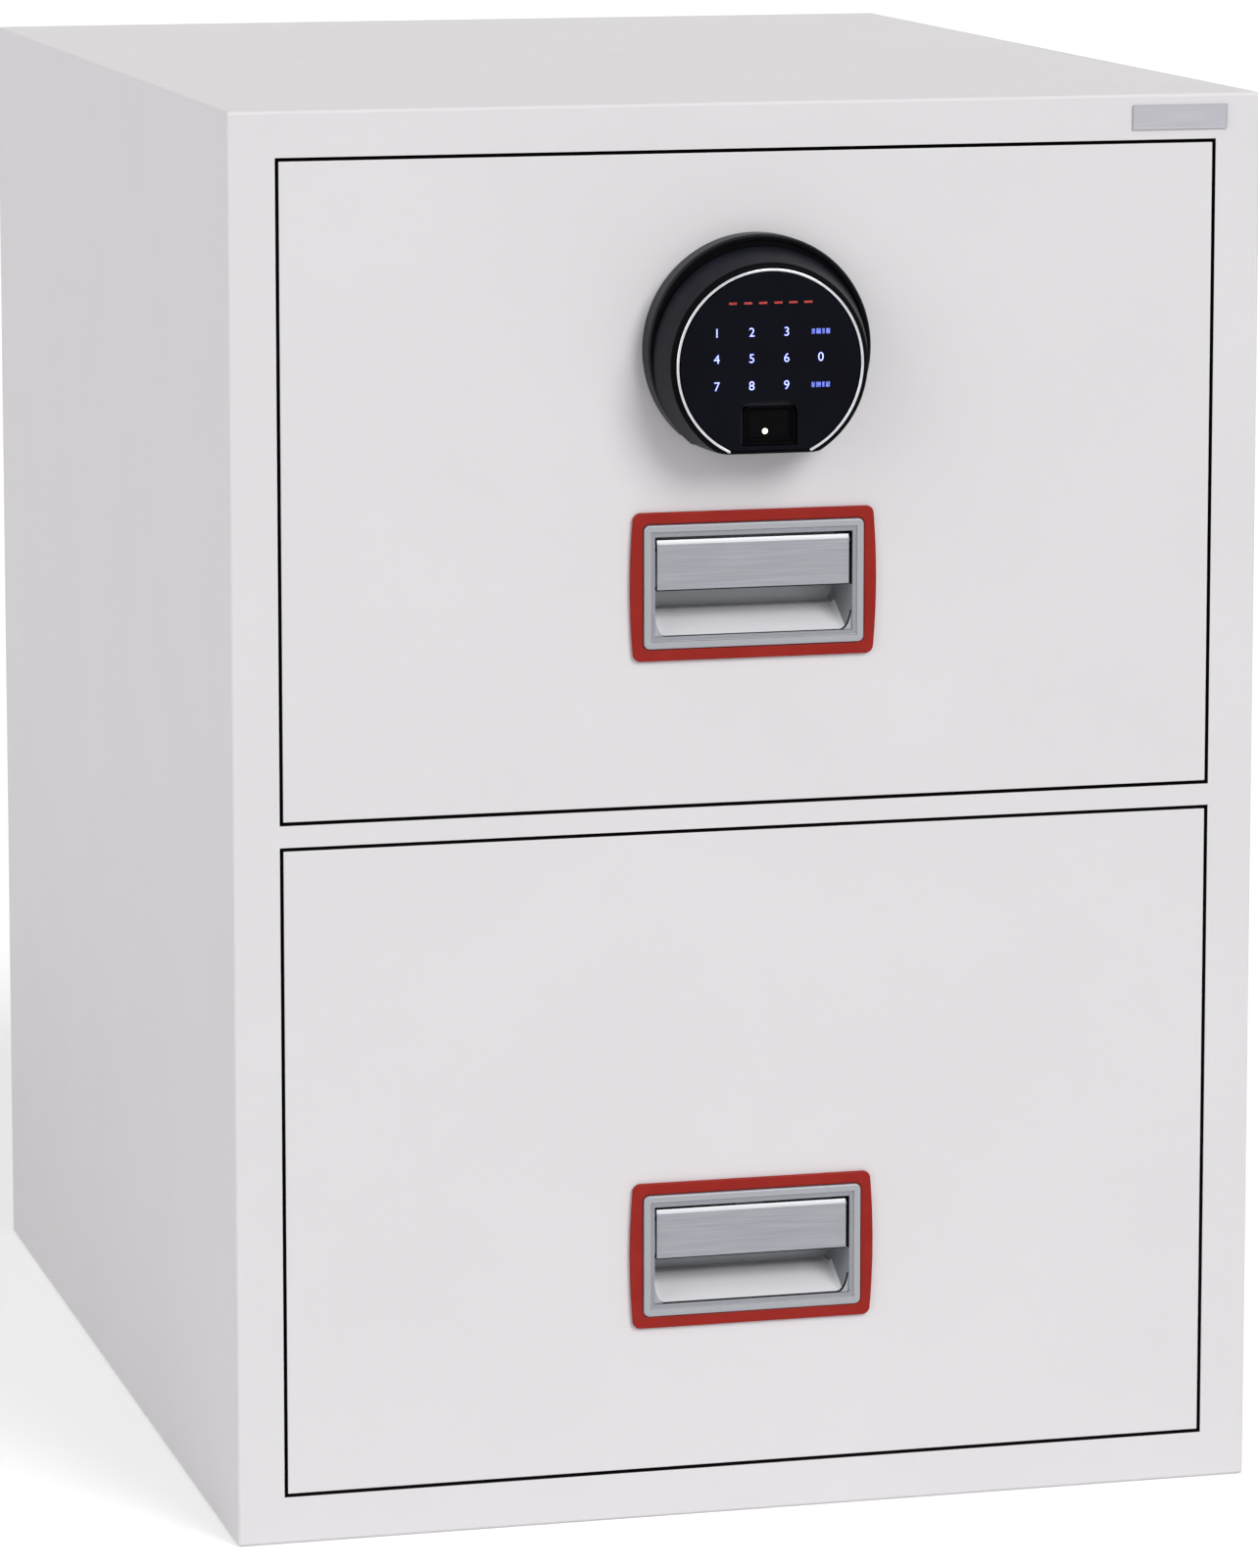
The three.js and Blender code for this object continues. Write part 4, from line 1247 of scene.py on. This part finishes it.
def make_panel():
    panel = start_round("lock_panel", panel_high.x, panel_low.y, panel_high.y, 0, face_z, sides=160)
    with editing(panel):
        bpy.ops.mesh.select_all(action="SELECT")
        bpy.ops.mesh.bisect(plane_co=(0, 0, panel_low.z), plane_no=(0, 0, 1),
                            clear_inner=True, use_fill=True)
    cut_away(panel, finger_notch())
    round_edges(panel, fine_edge, segments=2, above=50)
    smooth(panel)
    return panel


hand_in(make_panel(), "upper_drawer", black_gloss, "black_gloss", "touch_panel")

# %% [markdown]
# The finger sensor is a sunk plate in a sloping frame, with a small light at its middle. It sits low in
# the notch of the panel, and like the notch it is rounded at its upper corners alone.

# %% Finger sensor
sensor_corner = 4 * mm
sensor_rim = 0.6 * mm
sensor_slope = 1.6 * mm
sensor_sink = 2.6 * mm
pane_rim = 0.8 * mm
pane_slope = 0.3 * mm
pane_rise = 0.4 * mm
sensor_edge = 0.15 * mm


def make_sensor():
    sensor = start_block("finger_sensor", finger_low, finger_high)
    with editing(sensor):
        pick_edges(lambda place, along: abs(along.y) > 0.9 and place.z > finger_high.z - tiny)
        bpy.ops.mesh.bevel(offset=sensor_corner, segments=6, affect="EDGES")
        pick_faces(lambda place, out: out.y < -0.99)
        bpy.ops.mesh.inset(thickness=sensor_rim)
        bpy.ops.mesh.inset(thickness=sensor_slope, depth=-sensor_sink)
        bpy.ops.mesh.inset(thickness=pane_rim)
        bpy.ops.mesh.inset(thickness=pane_slope, depth=pane_rise)
    round_edges(sensor, sensor_edge, segments=2, above=35)
    smooth(sensor)
    return sensor


# The sensor is dark of itself. Its dull black is also painted shade for its sunk recess.
hand_in(make_sensor(), "upper_drawer", painted_shade_plastic, "black_gloss", "fingerprint_sensor")

# %% Finger light
dot_radius = 1.5 * mm
dot_rise = 0.3 * mm
dot_root = 0.2 * mm
dot_edge = 0.25 * mm
dot_x = -1.6 * mm
dot_z = finger_low.z + 6.4 * mm


def make_finger_light():
    surface = finger_low.y + sensor_sink - pane_rise
    dot = start_round("finger_light", dot_radius, surface - dot_rise, surface + dot_root,
                      dot_x, dot_z, sides=32)
    with editing(dot):
        pick_edges(lambda place, along: place.y < surface - dot_rise + tiny)
        bpy.ops.mesh.bevel(offset=dot_edge, segments=3, affect="EDGES")
    smooth(dot)
    return dot


hand_in(make_finger_light(), "upper_drawer", dot_light, "black_gloss")

# %% [markdown]
# ### Symbols of the touch panel
#
# The panel shows the ten digits in a grid of four columns and three rows, two function keys, which
# carry plain bars here, and six dashes above. The digits are text objects made into meshes, a few
# hundredths of a millimetre thick. A wider, darker copy behind each one is the bluish halo that lit
# symbols have under dark plastic.

# %% Places of the symbols
key_columns = [-27.4 * mm, -9.6 * mm, 8.2 * mm, 25.7 * mm]
key_rows = [face_z + 16.3 * mm, face_z + 3.4 * mm, face_z - 10.1 * mm]
digit_size = 6.3 * mm
symbol_film = 0.04 * mm
outline_join = 0.0001 * mm


def text_mesh(body, x, z, size, widen, y):
    """A character standing upright at a place, as a thin closed mesh."""
    deselect_all()
    bpy.ops.object.text_add(location=(x, y, z), rotation=(math.radians(90), 0, 0))
    letter = bpy.context.object
    letter.data.body = body
    letter.data.size = size
    letter.data.offset = widen
    letter.data.extrude = symbol_film / 2
    letter.data.align_x = "CENTER"
    letter.data.align_y = "CENTER"
    bpy.ops.object.convert(target="MESH")
    with editing(bpy.context.object):
        bpy.ops.mesh.select_all(action="SELECT")
        bpy.ops.mesh.remove_doubles(threshold=outline_join)
        bpy.ops.mesh.normals_make_consistent(inside=False)
    return settle("digit")


print("keys stand", round((key_columns[1] - key_columns[0]) / mm, 1), "mm apart")

# %% Digits and their halo
def digit_places():
    """Every digit with its place on the panel."""
    rows = (("1", "2", "3", None), ("4", "5", "6", "0"), ("7", "8", "9", None))
    for z, row in zip(key_rows, rows):
        for x, digit in zip(key_columns, row):
            if digit:
                yield digit, x, z


def make_digits(name, widen, lift):
    letters = [text_mesh(digit, x, z, digit_size, widen, face - lift) for digit, x, z in digit_places()]
    return put_together(name, letters)


digits = make_digits("panel_digits", widen=-0.02 * mm, lift=0.1 * mm)
hand_in(digits, "upper_drawer", digit_light, "black_gloss")
halo = make_digits("panel_halo", widen=0.14 * mm, lift=0.03 * mm)
hand_in(halo, "upper_drawer", digit_halo, "black_gloss")

# %% Function keys and dashes
bar_widths = (1.6 * mm, 2.4 * mm, 1.2 * mm, 2.0 * mm)
bar_gap = 0.7 * mm
bar_height = 2.6 * mm
dash_count = 6
dash_pitch = 7.7 * mm
dash_width = 4.2 * mm
dash_height = 1.1 * mm
dash_z = face_z + 30.9 * mm
film_edge = 0.03 * mm


def film_block(name, x0, x1, z0, z1):
    return start_block(name, (x0, face - symbol_film, z0), (x1, face + symbol_film, z1))


def make_function_keys():
    bars = []
    total = sum(bar_widths) + bar_gap * (len(bar_widths) - 1)
    for z in (key_rows[0], key_rows[2]):
        x = key_columns[3] - total / 2
        for width in bar_widths:
            bars.append(film_block("bar", x, x + width, z - bar_height / 2, z + bar_height / 2))
            x += width + bar_gap
    keys = put_together("panel_bars", bars)
    round_edges(keys, film_edge, segments=1)
    return keys


def make_dashes():
    first = -dash_pitch * (dash_count - 1) / 2
    places = [first + i * dash_pitch for i in range(dash_count)]
    dashes = [film_block("dash", x - dash_width / 2, x + dash_width / 2,
                         dash_z - dash_height / 2, dash_z + dash_height / 2) for x in places]
    row = put_together("panel_dashes", dashes)
    round_edges(row, film_edge, segments=1)
    return row


hand_in(make_function_keys(), "upper_drawer", key_light, "black_gloss")
hand_in(make_dashes(), "upper_drawer", dash_light, "black_gloss")

# %% [markdown]
# ## Name plate
#
# A thin brushed plate is glued to the right of the top rail. It is bare, with a slightly sunk field.

# %% Name plate
plate_corner = 0.6 * mm
plate_rim = 0.7 * mm
plate_sink = 0.12 * mm
plate_edge = 0.05 * mm


def make_plate():
    low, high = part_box("name_plate")
    plate = start_block("rail_plate", low, high)
    with editing(plate):
        pick_edges(lambda place, along: abs(along.y) > 0.9)
        bpy.ops.mesh.bevel(offset=plate_corner, segments=3, affect="EDGES")
    cut_away(plate, start_block("field", (low.x + plate_rim, low.y - past, low.z + plate_rim),
                                (high.x - plate_rim, low.y + plate_sink, high.z - plate_rim)))
    round_edges(plate, plate_edge, segments=2, above=60)
    smooth(plate)
    return plate


hand_in(make_plate(), "cabinet", plate_metal, "plate_metal", "name_plate")

# %% [markdown]
# ## Inside the drawers
#
# These parts show when a drawer is pulled out. The upper drawer is the lower one over again, so each part
# is modelled once, low down, and copied up by the distance between the drawers.

# %% From the lower drawer to the upper one
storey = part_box("upper_tray")[0].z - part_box("lower_tray")[0].z


def for_both(piece, part, body, material, slot, *nodes):
    """Hands in a part of the lower drawer, and its copy for the upper one."""
    upper = copy_of(piece, f"upper_{part}", move=(0, 0, storey))
    for level, item in (("lower", piece), ("upper", upper)):
        hand_in(item, body.replace("LEVEL", level), material, slot, *[f"{level}_{node}" for node in nodes])


print("upper drawer lies", round(storey / mm, 1), "mm higher")

# %% [markdown]
# ### Inner pan of a drawer head
#
# The pan closes the insulation of the drawer front from behind. Its middle stands out as a plug that
# fills the mouth of the bay. The plug is extruded from a flat plate, its edges are rounded as a press
# rounds them, and the same shape, thinner by the sheet, is cut out from the front.

# %% Inner pan
pan_sheet = 1.2 * mm
plug_half_width = 203 * mm
plug_half_height = 136.3 * mm
plug_corner = 6 * mm
plug_edge = 3 * mm


def make_inner_pan():
    low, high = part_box("lower_head_inner_pan")
    rear = low.y + pan_sheet
    middle = (low.z + high.z) / 2
    pan = start_block("lower_inner_pan", low, (high.x, rear, high.z))
    with editing(pan):
        for x in (-plug_half_width, plug_half_width):
            pick_faces(lambda place, out: out.y > 0.9)
            slice_at((x, 0, 0), (1, 0, 0))
        for z in (middle - plug_half_height, middle + plug_half_height):
            pick_faces(lambda place, out: out.y > 0.9)
            slice_at((0, 0, z), (0, 0, 1))
        pick_faces(lambda place, out: out.y > 0.9 and abs(place.x) < near
                   and abs(place.z - middle) < near)
        extrude_by((0, high.y - rear, 0))
        pick_edges(lambda place, along: abs(along.y) > 0.9 and place.y > rear + tiny)
        bpy.ops.mesh.bevel(offset=plug_corner, segments=5, affect="EDGES")
        pick_edges(lambda place, along: place.y > high.y - tiny)
        bpy.ops.mesh.bevel(offset=plug_edge, segments=4, affect="EDGES")
    inside_x, inside_z = plug_half_width - pan_sheet, plug_half_height - pan_sheet
    hollow = start_block("hollow", (-inside_x, low.y - past, middle - inside_z),
                         (inside_x, high.y - pan_sheet, middle + inside_z))
    with editing(hollow):
        pick_edges(lambda place, along: abs(along.y) > 0.9)
        bpy.ops.mesh.bevel(offset=plug_corner - pan_sheet, segments=5, affect="EDGES")
        pick_edges(lambda place, along: place.y > high.y - pan_sheet - tiny)
        bpy.ops.mesh.bevel(offset=plug_edge - pan_sheet, segments=4, affect="EDGES")
    cut_away(pan, hollow)
    round_edges(pan, sheet_edge, segments=2, above=60)
    smooth(pan)
    return pan


for_both(make_inner_pan(), "inner_pan", "LEVEL_drawer", lining_paint, "lining_paint", "head_inner_pan")

# %% [markdown]
# ### Screws of the inner pan
#
# A row of cross-head screws holds the pan, all round outside the fire seal. One screw is made of a short
# cylinder with a rounded head and a cross cut into it, and copied to every place.

# %% Screws
screw_radius = 3 * mm
screw_height = 2 * mm
screw_root = 0.4 * mm
screw_round = 1.1 * mm
cross_depth = 1.1 * mm
cross_half_length = 1.7 * mm
cross_half_width = 0.35 * mm
screw_x = 232.8 * mm
screw_edge = 5.6 * mm
screws_across = 7
screws_up = 4


def make_screw(x, y, z):
    screw = start_round("screw", screw_radius, y - screw_root, y + screw_height, x, z, sides=24)
    with editing(screw):
        pick_edges(lambda place, along: place.y > y + screw_height - tiny)
        bpy.ops.mesh.bevel(offset=screw_round, segments=4, affect="EDGES")
    slot_y = y + screw_height - cross_depth
    for half_x, half_z in ((cross_half_length, cross_half_width), (cross_half_width, cross_half_length)):
        cut_away(screw, start_block("cross", (x - half_x, slot_y, z - half_z),
                                    (x + half_x, y + past, z + half_z)))
    smooth(screw)
    return screw


def make_screws():
    low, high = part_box("lower_head_inner_pan")
    y = low.y + pan_sheet
    first = make_screw(-screw_x, y, low.z + screw_edge)
    across = 2 * screw_x / (screws_across - 1)
    up = (high.z - low.z - 2 * screw_edge) / (screws_up - 1)
    spots = [(i, k) for i in range(screws_across) for k in range(screws_up)
             if i in (0, screws_across - 1) or k in (0, screws_up - 1)]
    screws = [copy_of(first, "screw", move=(i * across, 0, k * up)) for i, k in spots if i or k]
    return put_together("lower_pan_screws", [first] + screws)


for_both(make_screws(), "pan_screws", "LEVEL_drawer", zinc_steel, "zinc_steel")

# %% [markdown]
# ### Fire seal
#
# The seal is a flat strip that goes round the plug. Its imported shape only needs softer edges, because
# pressed fibre has no sharp ones.

# %% Fire seal
seal_edge = 0.9 * mm
seal = softened("lower_fire_seal", "lower_seal_strip", seal_edge, segments=3)
smooth(seal, below=50)
for_both(seal, "seal_strip", "LEVEL_drawer", fire_seal, "fire_seal", "fire_seal")

# %% [markdown]
# ### Tray
#
# The tray is folded from one sheet. It starts as a block with rounded upright corners. Its top is taken
# off, lips are extruded inwards from the front and rear walls, shallow fields are pressed into the
# bottom and the walls, and Solidify gives the skin its thickness.

# %% Tray
tray_sheet = 1.2 * mm
tray_corner = 4 * mm
tray_fold = 2.5 * mm
lip_width = 9.5 * mm
lip_drop = 5 * mm
field_margin = 36 * mm
field_edge = 1.6 * mm
field_depth = 1.8 * mm
side_field_foot = 90 * mm
side_field_top = 40 * mm


def press_field(facing, low, high):
    """Presses the part of a flat wall that lies between two corners inwards, with sloping edges."""
    for axis, bounds in enumerate(zip(low, high)):
        normal = Vector([float(i == axis) for i in range(3)])
        for bound in bounds:
            pick_faces(facing)
            slice_at(normal * bound, normal)
    pick_faces(lambda place, out: facing(place, out) and all(a < p < b for a, p, b in zip(low, place, high)))
    bpy.ops.mesh.inset(thickness=field_edge, depth=-field_depth)


def make_tray():
    low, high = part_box("lower_tray")
    tray = start_block("lower_tray_box", low, high)
    with editing(tray):
        pick_edges(lambda place, along: abs(along.z) > 0.9)
        bpy.ops.mesh.bevel(offset=tray_corner, segments=5, affect="EDGES")
        pick_edges(lambda place, along: place.z < low.z + tiny)
        bpy.ops.mesh.bevel(offset=tray_fold, segments=4, affect="EDGES")
        pick_faces(lambda place, out: out.z > 0.9)
        bpy.ops.mesh.delete(type="ONLY_FACE")
        for y, inwards in ((low.y, 1), (high.y, -1)):
            pick_edges(lambda place, along: place.z > high.z - tiny and abs(place.y - y) < tiny)
            for move in ((0, inwards * lip_width, 0), (0, 0, -lip_drop)):
                bpy.ops.mesh.extrude_edges_move(TRANSFORM_OT_translate={"value": move})
        reach = high.x - field_margin
        press_field(lambda place, out: out.z < -0.99, (-reach, low.y + field_margin, low.z - near),
                    (reach, high.y - field_margin, low.z + near))
        for y, facing in ((low.y, -1), (high.y, 1)):
            press_field(lambda place, out: out.y * facing > 0.99 and abs(place.y - y) < tiny,
                        (-reach, y - near, low.z + field_margin),
                        (reach, y + near, high.z - 2 * field_margin))
        for x, facing in ((low.x, -1), (high.x, 1)):
            press_field(lambda place, out: out.x * facing > 0.99,
                        (x - near, low.y + field_margin, high.z - side_field_foot),
                        (x + near, high.y - field_margin, high.z - side_field_top))
    modify(tray, "SOLIDIFY", thickness=tray_sheet, offset=-1)
    round_edges(tray, sheet_edge, segments=2, above=60)
    smooth(tray)
    return tray


for_both(make_tray(), "tray_box", "LEVEL_drawer", lining_paint, "lining_paint", "tray")

# %% [markdown]
# ### File rails
#
# Hanging files hook over two flat bars along the tray's sides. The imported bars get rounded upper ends, so
# that no file catches on them.

# %% File rails
rail_corner = 8 * mm
rail_edge = 0.3 * mm


def make_rail(hand):
    low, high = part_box(f"lower_{hand}_file_rail")
    rail = softened(f"lower_{hand}_file_rail", f"lower_{hand}_hook_rail", rail_edge)
    for y in (low.y, high.y):
        turned = start_block("corner", (low.x - past, y - rail_corner, high.z - rail_corner),
                             (high.x + past, y + rail_corner, high.z + rail_corner))
        with editing(turned):
            pick_edges(lambda place, along: abs(along.x) > 0.9)
            inner = y + rail_corner if y == low.y else y - rail_corner
            pick_points(lambda place: abs(place.y - inner) < tiny and place.z < high.z)
            bpy.ops.transform.translate(value=(0, 0, rail_corner))
        cut_away(rail, turned)
    smooth(rail)
    return rail


for hand in ("left", "right"):
    for_both(make_rail(hand), f"{hand}_hook_rail", "LEVEL_drawer", zinc_steel, "zinc_steel",
             f"{hand}_file_rail")

# %% [markdown]
# ### Slides
#
# Each slide has three rolled members that run in one another. Their packed sections are right, so they
# are softened, and the web of each is punched with screw holes and longer slots, as on a bought slide.

# %% Slides
hole_radius = 2.6 * mm
hole_pitch = 64 * mm
slot_stretch = 2.2
punch_depth = 6 * mm
slide_edge = 0.35 * mm
slide_body = {"cabinet": "cabinet", "middle": "LEVEL_middle_slides", "drawer": "LEVEL_drawer"}


def punch(name, x, y, z, stretch):
    """A round bar through the web of a slide, drawn out along the slide."""
    deselect_all()
    bpy.ops.mesh.primitive_cylinder_add(vertices=24, radius=hole_radius, depth=punch_depth,
                                        location=(x, y, z), rotation=(0, math.radians(90), 0))
    bpy.context.object.scale = (1, stretch, 1)
    return settle(name)


def make_slide(member):
    node = f"lower_left_{member}_slide"
    low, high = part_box(node)
    slide = softened(node, f"lower_left_{member}_member", slide_edge)
    web = high.x if member == "drawer" else low.x
    count = int((high.y - low.y) / hole_pitch)
    start = (low.y + high.y - (count - 1) * hole_pitch) / 2
    punches = [punch("punch", web, start + i * hole_pitch, (low.z + high.z) / 2, slot_stretch if i % 2 else 1)
               for i in range(count)]
    cut_away(slide, put_together("punches", punches))
    smooth(slide)
    return slide


for member in ("cabinet", "middle", "drawer"):
    left = make_slide(member)
    right = copy_of(left, f"lower_right_{member}_member", mirrored=True)
    for hand, slide in (("left", left), ("right", right)):
        for_both(slide, f"{hand}_{member}_member", slide_body[member], zinc_steel, "zinc_steel",
                 f"{hand}_{member}_slide")

# %% [markdown]
# ### Latch and bolt
#
# Each latch bar is a flat bar with a slanted nose, which pushes the bar back when the drawer is shut. The
# lock's bolt is a square bar. Both, their keepers and the lock's case only need worked edges.

# %% Latch bars, bolt, keepers and lock case
nose_slant = 3.5 * mm
bar_edge = 0.3 * mm
keeper_edge = 0.4 * mm
worked_edge = 0.5 * mm


def make_latch():
    low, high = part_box("lower_latch_bar")
    bar = softened("lower_latch_bar", "lower_latch_strip", bar_edge)
    nose = start_block("nose", (low.x - nose_slant, high.y - nose_slant, low.z - past),
                       (low.x + nose_slant, high.y + nose_slant, high.z + past))
    with editing(nose):
        pick_points(lambda place: place.x > low.x and place.y < high.y)
        bpy.ops.transform.translate(value=(0, nose_slant, 0))
    cut_away(bar, nose)
    smooth(bar)
    return bar


for_both(make_latch(), "latch_strip", "LEVEL_latch", zinc_steel, "zinc_steel", "latch_bar")
keeper = softened("lower_latch_keeper", "lower_keeper_box", keeper_edge)
smooth(keeper)
for_both(keeper, "keeper_box", "cabinet", zinc_steel, "zinc_steel", "latch_keeper")
for node, name, body in (("lock_bolt", "bolt_bar", "bolt"), ("lock_case", "lock_box", "upper_drawer"),
                         ("bolt_ferrule", "bolt_sleeve", "cabinet")):
    worked = softened(node, name, worked_edge)
    smooth(worked)
    hand_in(worked, body, zinc_steel, "zinc_steel", node)

# %% [markdown]
# ## Inside the cabinet
#
# A steel lining covers the insulation of each bay. Its front edge is folded outwards as the seat that
# the fire seal closes on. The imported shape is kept, with rolled edges.

# %% Bay linings
lining_edge = 0.45 * mm
lining = softened("lower_bay_liner", "lower_bay_lining", lining_edge)
smooth(lining)
for_both(lining, "bay_lining", "cabinet", lining_paint, "lining_paint", "bay_liner")

# %% [markdown]
# ## Back
#
# The back is a sheet let into the casing, with a narrow seam round it, and held by rivets. A large
# field in it is pressed inwards, which stiffens the sheet and lets the cabinet stand flat against a
# wall. The filling behind it makes room for the field.

# %% Back panel
back_seam = 0.9 * mm
back_margin = 30 * mm
back_corner = 14 * mm
back_slope = 3 * mm
back_press = 4 * mm
filling_edge = 1 * mm
rivet_radius = 3.5 * mm
rivet_root = 0.3 * mm
rivet_edge = 0.55 * mm
rivet_rise = 0.6 * mm
rivet_inset = 12 * mm
rivets_across = 6
rivets_up = 8


def back_field(rear):
    """The air over the pressed field, whose edges slope."""
    low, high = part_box("back_panel")
    middle = (low.z + high.z) / 2
    half_width, half_height = high.x - back_margin, high.z - middle - back_margin
    field = start_block("field", (-half_width, rear - back_press, middle - half_height),
                        (half_width, rear, middle + half_height))
    with editing(field):
        pick_edges(lambda place, along: abs(along.y) > 0.9)
        bpy.ops.mesh.bevel(offset=back_corner, segments=8, affect="EDGES")
        pick_points(lambda place: place.y < rear - tiny)
        narrow, low_narrow = 1 - back_slope / half_width, 1 - back_slope / half_height
        bpy.ops.transform.resize(value=(narrow, 1, low_narrow), center_override=(0, 0, middle))
        pick_faces(lambda place, out: out.y > 0.9)
        extrude_by((0, past, 0))
    return field


def make_back():
    low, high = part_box("back_panel")
    rear = high.y - rivet_rise
    back = start_block("back_sheet", (low.x + back_seam, low.y, low.z + back_seam),
                       (high.x - back_seam, rear, high.z - back_seam))
    margin = 0.8 * back_margin
    weld_on(back, start_block("swell", (low.x + margin, low.y - back_press, low.z + margin),
                              (high.x - margin, low.y + tiny, high.z - margin)))
    cut_away(back, back_field(rear))
    round_edges(back, sheet_edge, segments=2, above=60)
    smooth(back, below=15)
    return back


def make_rivets():
    low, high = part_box("back_panel")
    rear = high.y - rivet_rise
    x0, z0 = low.x + rivet_inset, low.z + rivet_inset
    first = start_round("rivet", rivet_radius, rear - rivet_root, high.y, x0, z0, sides=24)
    with editing(first):
        pick_edges(lambda place, along: place.y > high.y - tiny)
        bpy.ops.mesh.bevel(offset=rivet_edge, segments=3, affect="EDGES")
    smooth(first, below=60)
    across = -2 * x0 / (rivets_across - 1)
    up = (high.z - low.z - 2 * rivet_inset) / (rivets_up - 1)
    spots = [(i, k) for i in range(rivets_across) for k in range(rivets_up)
             if i in (0, rivets_across - 1) or k in (0, rivets_up - 1)]
    rivets = [copy_of(first, "rivet", move=(i * across, 0, k * up)) for i, k in spots if i or k]
    return put_together("back_rivets", [first] + rivets)


def make_filling():
    low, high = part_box("back_panel")
    filling = softened("fire_insulation", "filling", filling_edge, segments=1)
    margin = 0.75 * back_margin
    cut_away(filling, start_block("recess", (low.x + margin, low.y - back_press - near, low.z + margin),
                                  (high.x - margin, high.y + past, high.z - margin)))
    smooth(filling)
    return filling


hand_in(make_back(), "cabinet", white_paint, "white_paint", "back_panel")
hand_in(make_rivets(), "cabinet", zinc_steel, "zinc_steel")
hand_in(make_filling(), "cabinet", insulation, "insulation", "fire_insulation")

# %% [markdown]
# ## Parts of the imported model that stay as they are
#
# Parts whose shape is already right only need a surface.

# %% Surfaces of the remaining parts
slot_finish = {
    "white_paint": white_paint,
    "lining_paint": lining_paint,
    "insulation": insulation,
    "fire_seal": fire_seal,
    "zinc_steel": zinc_steel,
    "plate_metal": plate_metal,
    "red_plastic": red_plastic,
    "silver_paint": silver,
    "brushed_flap": brushed_flap,
    "black_plastic": black_plastic,
    "black_gloss": black_gloss,
    "chrome_ring": chrome_ring,
    "board_green": board_green,
    "battery_wrap": battery_wrap,
    "lead_rubber": lead_rubber,
}
part_slots = {part["node"]: part["material_slot"] for part in frame["record"]["subparts"]}
for name, part in frame["nodes"].items():
    part.data.materials.clear()
    part.data.materials.append(slot_finish[part_slots[name]])
print("surfaces given to", len(part_slots), "parts")
